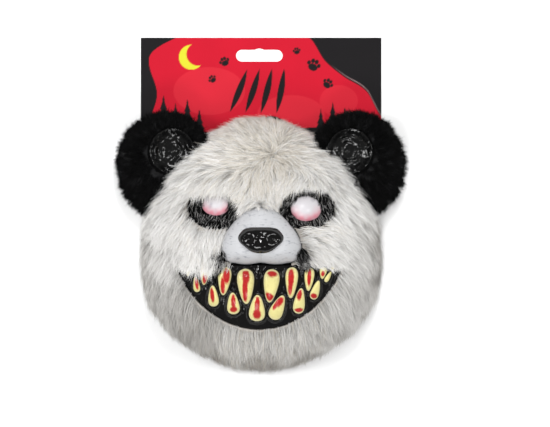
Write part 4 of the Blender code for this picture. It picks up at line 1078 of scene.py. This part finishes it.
def make_ear(side, word, seed):
    """One ear: the hide, its hair, a flap of hair over the dish's rim, and the dish. In the dish
    round ridges follow the squared sine of the distance from its middle, broken by ripples."""
    mirror = np.array([side, 1, 1])
    shift = np.array([0, FACE_Y, 0])
    hide = round_body(f"ear_hide_{word}", ear_rings() * mirror + shift, ear_coat_look)
    dress(hide, "black_fur", f"ear_fur_{word}")
    rng = np.random.default_rng(seed)
    angle = rng.uniform(-np.pi, np.pi, EAR_TUFTS * 3)
    share = np.sqrt(rng.uniform(0.0, 1.0, len(angle)))
    root = ear_spot(angle, share)
    inside = np.hypot(root[:, 0], root[:, 1]) < shell_reach(np.arctan2(root[:, 1], root[:, 0])) - 0.001
    root = (root[~inside][:EAR_TUFTS] - np.array([0, 0, 0.0006])) * mirror + shift

    def field(points):
        out = points - np.array([side * (CUP_X + 0.004), CUP_Y - 0.004 + FACE_Y, 0.0])
        out[:, 2] = 0
        reach = np.linalg.norm(out, axis=1, keepdims=True)
        low = np.clip((reach - 0.030) / 0.022, 0, 1)
        normal = one_long(one_long(out) * low * 0.9 + np.array([0, 0, 1.0]))
        way = one_long(out) - np.array([0, 0, 0.25])
        return normal, one_long(way - normal * (way * normal).sum(1, keepdims=True))

    size = rng.uniform(0.0070, 0.0100, len(root))
    tone = np.clip(rng.normal(0.42, 0.18, len(root)), 0, 1)
    coat = hair_coat(f"ear_hair_{word}", root, field, size, tone, np.zeros(len(root)), black_hair, seed, hairs=24,
                     spread=0.0028, width=0.00038, rise=(50, 26, 8), turn=12, stray=0.13)
    round_ = rng.uniform(-np.pi, np.pi, FLAP_TUFTS)
    lip = (ear_spot(round_, rng.uniform(0.0, 0.05, FLAP_TUFTS)) + np.array([0, 0, 0.0004])) * mirror + shift

    def inwards(points):
        normal, way = field(points)
        return normal, way * np.array([-1, -1, 1])

    flap_size, flap_tone = rng.uniform(0.004, 0.009, FLAP_TUFTS), np.full(FLAP_TUFTS, 0.35)
    flap = hair_coat(f"ear_flap_{word}", lip, inwards, flap_size, flap_tone, np.zeros(FLAP_TUFTS), black_hair, seed + 2,
                     hairs=16, spread=0.0022, width=0.00034, rise=(30, 2, -8), turn=24)
    turn = np.linspace(-np.pi, np.pi, 128, endpoint=False)[None]
    out = np.linspace(0.03, 0.97, 60)[:, None]
    x, y = out * CUP_RADIUS * np.cos(turn), out * CUP_RADIUS * np.sin(turn)
    wavy = out + 0.05 * ripples(x, y, 0.020, seed)
    bowl = 0.06 + 0.56 * out**2.2
    broken = np.clip(0.45 + 0.9 * ripples(x, y, 0.022, seed + 9), 0, 1)
    folds = DISH_RIDGE * np.sin(wavy * 2 * np.pi * DISH_RIDGES) ** 2 * np.clip(out * 3, 0, 1) * broken
    floor = EAR_TOP - CUP_DEPTH - LATEX_WALL + SEAT_GAP
    rough = ripples(x, y, 0.006, seed + 5) * 0.00022
    top = np.stack([x + CUP_X, y + CUP_Y, floor + CUP_DEPTH * bowl + folds + rough], -1)
    under = np.stack([x + CUP_X, y + CUP_Y, np.full_like(x, floor - LATEX_WALL)], -1)
    dish = round_body(f"ear_dish_{word}", np.concatenate([top, under[::-1][::6]]) * mirror + shift, ear_latex)
    dress(dish, "black_latex", f"ear_cup_{word}")


for side, word, seed in ((-1, "left", 41), (1, "right", 42)):
    make_ear(side, word, seed)


# Elastic band: black woven elastic, sewn inside the shell at both sides. Its ribs run along it.
def elastic_finish():
    """Woven elastic: ribs along the band and threads across it, as two wave textures."""
    look = bpy.data.materials.new("woven_elastic")
    look.use_nodes = True
    nodes, links = look.node_tree.nodes, look.node_tree.links
    shader = nodes["Principled BSDF"]
    shader.inputs["Roughness"].default_value = 0.75
    place = nodes.new("ShaderNodeTexCoord")
    ribs, threads, both, tones = (
        nodes.new(kind) for kind in ("ShaderNodeTexWave", "ShaderNodeTexWave", "ShaderNodeMath", "ShaderNodeMix")
    )
    ribs.bands_direction, threads.bands_direction = "Y", "X"
    ribs.inputs["Scale"].default_value, threads.inputs["Scale"].default_value = 220.0, 420.0
    both.operation = "MULTIPLY"
    tones.data_type = "RGBA"
    tones.inputs["A"].default_value = (0.006, 0.006, 0.006, 1)
    tones.inputs["B"].default_value = (0.045, 0.045, 0.047, 1)
    relief = nodes.new("ShaderNodeBump")
    relief.inputs["Strength"].default_value = 0.7
    relief.inputs["Distance"].default_value = 0.0005
    for texture, slot in ((ribs, 0), (threads, 1)):
        links.new(place.outputs["Object"], texture.inputs["Vector"])
        links.new(texture.outputs["Fac"], both.inputs[slot])
    links.new(both.outputs[0], tones.inputs["Factor"])
    links.new(tones.outputs["Result"], shader.inputs["Base Color"])
    links.new(both.outputs[0], relief.inputs["Height"])
    links.new(relief.outputs["Normal"], shader.inputs["Normal"])
    return look


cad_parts["head_strap"].data.materials.clear()
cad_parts["head_strap"].data.materials.append(elastic_finish())


# Hanging card: coated board 0.8 mm thick, printed red and black with a moon, claw marks, paw
# prints and trees, and punched with a slot for the peg.
CARD_WIDTH = 0.2415
CARD_HEIGHT = 0.118
CARD_TOP = 0.2055
CARD_THICKNESS = 0.0008
CORNER_X = 0.047
CORNER_EDGE = ((0, 0), (17, 23), (36, 39), (59, 54), (76, 80))


def soft_edge(distance, width=0.0005):
    """1 inside a form and 0 outside it, from the distance to its edge, below zero inside."""
    return np.clip(0.5 - distance / width, 0, 1)


def claw(x, y, cx, cy, length, wide, lean):
    """A stroke that tapers to both ends: its half width is wide times (1 - along squared)."""
    c, s = math.cos(math.radians(lean)), math.sin(math.radians(lean))
    along, across = (x - cx) * c + (y - cy) * s, (y - cy) * c - (x - cx) * s
    bend = across - 0.06 * along * along / length
    return np.abs(bend) - wide * (1 - (along / (length / 2)) ** 2)


def paw(x, y, cx, cy, size, lean):
    """A paw print: one wide oval and four round toes."""
    c, s = math.cos(math.radians(lean)), math.sin(math.radians(lean))
    u, v = ((x - cx) * c + (y - cy) * s) / size, ((y - cy) * c - (x - cx) * s) / size
    print_ = np.hypot(u / 1.15, v / 0.85) - 1
    for tu, tv, r in ((-1.25, 0.75, 0.42), (-0.45, 1.45, 0.46), (0.45, 1.45, 0.46), (1.25, 0.75, 0.42)):
        print_ = np.minimum(print_, np.hypot((u - tu), (v - tv) * 0.8) - r)
    return print_ * size


def tree(x, y, cx, foot, height):
    """A fir tree: a triangle whose half width steps in three tiers."""
    up = np.clip((y - foot) / height, 0, 1)
    tier = (1 - up) * (0.62 + 0.38 * (1 - (up * 3.5) % 1.0))
    return np.where((y > foot) & (y < foot + height), np.abs(x - cx) - 0.27 * height * tier, 0.01)


def card_colours(x, y):
    """The print at points of the card, laid from the ground up: red with paler clouds, the black
    band and corner, and the motifs. X and Y are the face's own."""
    red, pale = np.array([0.50, 0.006, 0.022]), np.array([0.57, 0.018, 0.034])
    black, cream = np.array([0.008, 0.007, 0.008]), np.array([0.60, 0.40, 0.40])
    moon = np.array([0.60, 0.57, 0.03])
    colour = np.broadcast_to(red, x.shape + (3,)).copy()

    def lay(ink, cover):
        nonlocal colour
        colour = colour * (1 - cover[..., None]) + ink * cover[..., None]

    lay(pale, soft_edge(np.hypot((x + 0.052) / 1.5, (y - 0.152)) - 0.024) * 0.8)
    lay(pale, soft_edge(np.hypot((x - 0.030) / 1.7, (y - 0.128)) - 0.020) * 0.8)
    lay(pale, soft_edge(np.hypot((x - 0.078) / 1.2, (y - 0.142)) - 0.016) * 0.7)
    band = x + 0.1085 - 0.004 * np.sin(y * 95) - 0.02 * np.clip((y - 0.185) / 0.02, 0, 1) ** 2
    lay(black, soft_edge(band))
    edge = smooth_table(CORNER_EDGE, (x - CORNER_X) * 1000) / 1000
    corner = np.where(x < CORNER_X, 0.01, (CARD_TOP - y - edge) * 0.75)
    lay(black, soft_edge(corner))
    lay(cream, soft_edge(np.abs(corner + 0.0016) - 0.0002) * np.clip((x - 0.07) / 0.03, 0, 0.8))
    crescent = np.maximum(np.hypot(x + 0.070, y - 0.186) - 0.0125, 0.0115 - np.hypot(x + 0.0635, y - 0.189))
    lay(moon, soft_edge(crescent))
    for cx, lean in ((-0.022, 68), (-0.008, 72), (0.006, 76), (0.020, 80)):
        lay(black, soft_edge(claw(x, y, cx, 0.152, 0.046, 0.0032, lean)))
    for cx, cy, size, lean in ((-0.036, 0.180, 0.0032, 25), (0.052, 0.176, 0.0042, -20), (0.036, 0.191, 0.0024, 10),
                               (0.066, 0.158, 0.0034, -35), (-0.048, 0.163, 0.0026, 40)):
        lay(black, soft_edge(paw(x, y, cx, cy, size, lean)))
    hills = y - (0.118 + 0.006 * np.sin(x * 60 + 1.0) + 0.003 * np.sin(x * 140))
    lay(black, soft_edge(hills))
    for cx, height in ((-0.098, 0.034), (-0.086, 0.026), (-0.074, 0.030), (-0.062, 0.020), (0.060, 0.020),
                       (0.072, 0.027), (0.084, 0.022)):
        lay(black, soft_edge(tree(x, y, cx, 0.114, height)))
    grey = np.clip(0.5 + 0.5 * ripples(x, y, 0.05, 71), 0, 1)[..., None]
    return colour * (0.94 + 0.06 * grey)


def card_finish():
    """Coated board: the print, a fine tooth as bump, and a satin coat."""
    look = bpy.data.materials.new("printed_board")
    look.use_nodes = True
    nodes, links = look.node_tree.nodes, look.node_tree.links
    shader = nodes["Principled BSDF"]
    shader.inputs["Roughness"].default_value = 0.5
    shader.inputs["Specular IOR Level"].default_value = 0.1
    ink, place, noise, relief = (
        nodes.new(kind) for kind in
        ("ShaderNodeAttribute", "ShaderNodeTexCoord", "ShaderNodeTexNoise", "ShaderNodeBump")
    )
    ink.attribute_name = "ink"
    noise.inputs["Scale"].default_value = 1400.0
    relief.inputs["Strength"].default_value = 0.15
    relief.inputs["Distance"].default_value = 0.0002
    links.new(ink.outputs["Color"], shader.inputs["Base Color"])
    links.new(place.outputs["Object"], noise.inputs["Vector"])
    links.new(noise.outputs["Fac"], relief.inputs["Height"])
    links.new(relief.outputs["Normal"], shader.inputs["Normal"])
    return look


def in_slot(x, y):
    """Distance to the edge of the slot: a bar with round ends and a low round bump on top."""
    bar = np.hypot(np.maximum(np.abs(x) - 0.0175, 0), y - 0.1875) - 0.006
    bump = np.hypot(x, y - 0.1865) - 0.0083
    return np.minimum(bar, np.where(y > 0.1875, bump, 0.01))


def lay_card():
    """Grid over the card. Faces over the slot are left away, and the points round them move to
    its edge along the slope of the distance."""
    columns, rows = 306, 150
    across = np.linspace(-0.1190, CARD_WIDTH - 0.1190, columns + 1)
    x, y = np.meshgrid(across, np.linspace(CARD_TOP - CARD_HEIGHT, CARD_TOP, rows + 1))
    x, y = x.ravel(), y.ravel()
    i = (np.arange(rows)[:, None] * (columns + 1) + np.arange(columns)).ravel()
    faces = np.stack([i, i + 1, i + columns + 2, i + columns + 1], -1)
    kept = in_slot(x[faces].mean(1), y[faces].mean(1)) > 0
    border = np.intersect1d(faces[kept], faces[~kept])
    step = 1e-6
    for _ in range(3):
        bx, by = x[border], y[border]
        here = in_slot(bx, by)
        sx, sy = (in_slot(bx + step, by) - here) / step, (in_slot(bx, by + step) - here) / step
        steep = np.maximum(sx**2 + sy**2, 0.3)
        x[border], y[border] = bx - here * sx / steep, by - here * sy / steep
    used = np.unique(faces[kept])
    place = np.zeros(len(x), int)
    place[used] = np.arange(len(used))
    return x[used], y[used], place[faces[kept]]


card_x, card_y, card_faces = lay_card()
card_low, card_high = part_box("hang_card")
card_x = card_low.x + (card_x - card_x.min()) * (card_high.x - card_low.x) / (card_x.max() - card_x.min())
card = mesh_piece(
    "card", np.stack([card_x, card_y + FACE_Y, np.full_like(card_x, CARD_THICKNESS)], -1), card_faces, card_finish(),
    smooth=False,
)
ink = card.data.color_attributes.new("ink", "FLOAT_COLOR", "POINT")
shades = card_colours(card_x, card_y)
ink.data.foreach_set("color", np.concatenate([shades, np.ones((len(shades), 1))], 1).astype(np.float32).ravel())
board = card.modifiers.new("board", "SOLIDIFY")
board.thickness = CARD_THICKNESS
board.offset = -1
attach(card, "root")
dress(card, "printed_card", "hang_card")


# Studio: a pale floor, broad soft lights round the object and a camera straight above it.
FLOOR_REACH = 4.0
CAMERA_X = 0.014
CAMERA_Y = -0.00845
CAMERA_HEIGHT = 9.0
SHOWN_WIDTH = 0.550
MEAN_HEIGHT = 0.04
SKY_STRENGTH = 0.40
LIGHTS = (
    ("light_north", (0.3, 2.2, 2.4), 0.8, 46), ("light_south", (-0.3, -2.2, 2.2), 0.8, 34),
    ("light_east", (2.3, 0.2, 2.2), 0.8, 30), ("light_west", (-2.3, 0.3, 2.3), 0.8, 42),
    ("light_spark", (-0.35, 0.55, 2.6), 0.16, 10),
)


def pale_floor():
    """A square floor at height 0 in a nearly white matt paint."""
    look = bpy.data.materials.new("floor_paint")
    look.use_nodes = True
    shader = look.node_tree.nodes["Principled BSDF"]
    shader.inputs["Base Color"].default_value = (0.93, 0.93, 0.93, 1)
    shader.inputs["Roughness"].default_value = 0.9
    shader.inputs["Specular IOR Level"].default_value = 0.1
    corners = np.array([[-1, -1, 0], [1, -1, 0], [1, 1, 0], [-1, 1, 0]], float) * FLOOR_REACH
    floor = mesh_piece("floor", corners, np.array([[0, 1, 2, 3]]), look, smooth=False)


def soft_light(name, spot, size, watts):
    """A square area light at a spot, turned to the object."""
    lamp = bpy.data.lights.new(name, "AREA")
    lamp.size, lamp.energy = size, watts
    light = bpy.data.objects.new(name, lamp)
    light.location = spot
    aim = light.location.copy()
    aim.negate()
    light.rotation_euler = aim.to_track_quat("-Z", "Y").to_euler()
    bpy.context.scene.collection.objects.link(light)


pale_floor()
for light in LIGHTS:
    soft_light(*light)
world = bpy.data.worlds.new("studio")
world.use_nodes = True
world.node_tree.nodes["Background"].inputs["Color"].default_value = (1, 1, 1, 1)
world.node_tree.nodes["Background"].inputs["Strength"].default_value = SKY_STRENGTH
bpy.context.scene.world = world
bpy.context.scene.view_settings.view_transform = "Standard"
bpy.context.scene.view_settings.look = "None"
lens = bpy.data.cameras.new("camera")
lens.lens = lens.sensor_width * (CAMERA_HEIGHT - MEAN_HEIGHT) / SHOWN_WIDTH
lens.clip_end = 50.0
camera = bpy.data.objects.new("camera", lens)
camera.location = (CAMERA_X, CAMERA_Y, CAMERA_HEIGHT)
bpy.context.scene.collection.objects.link(camera)
bpy.context.scene.camera = camera
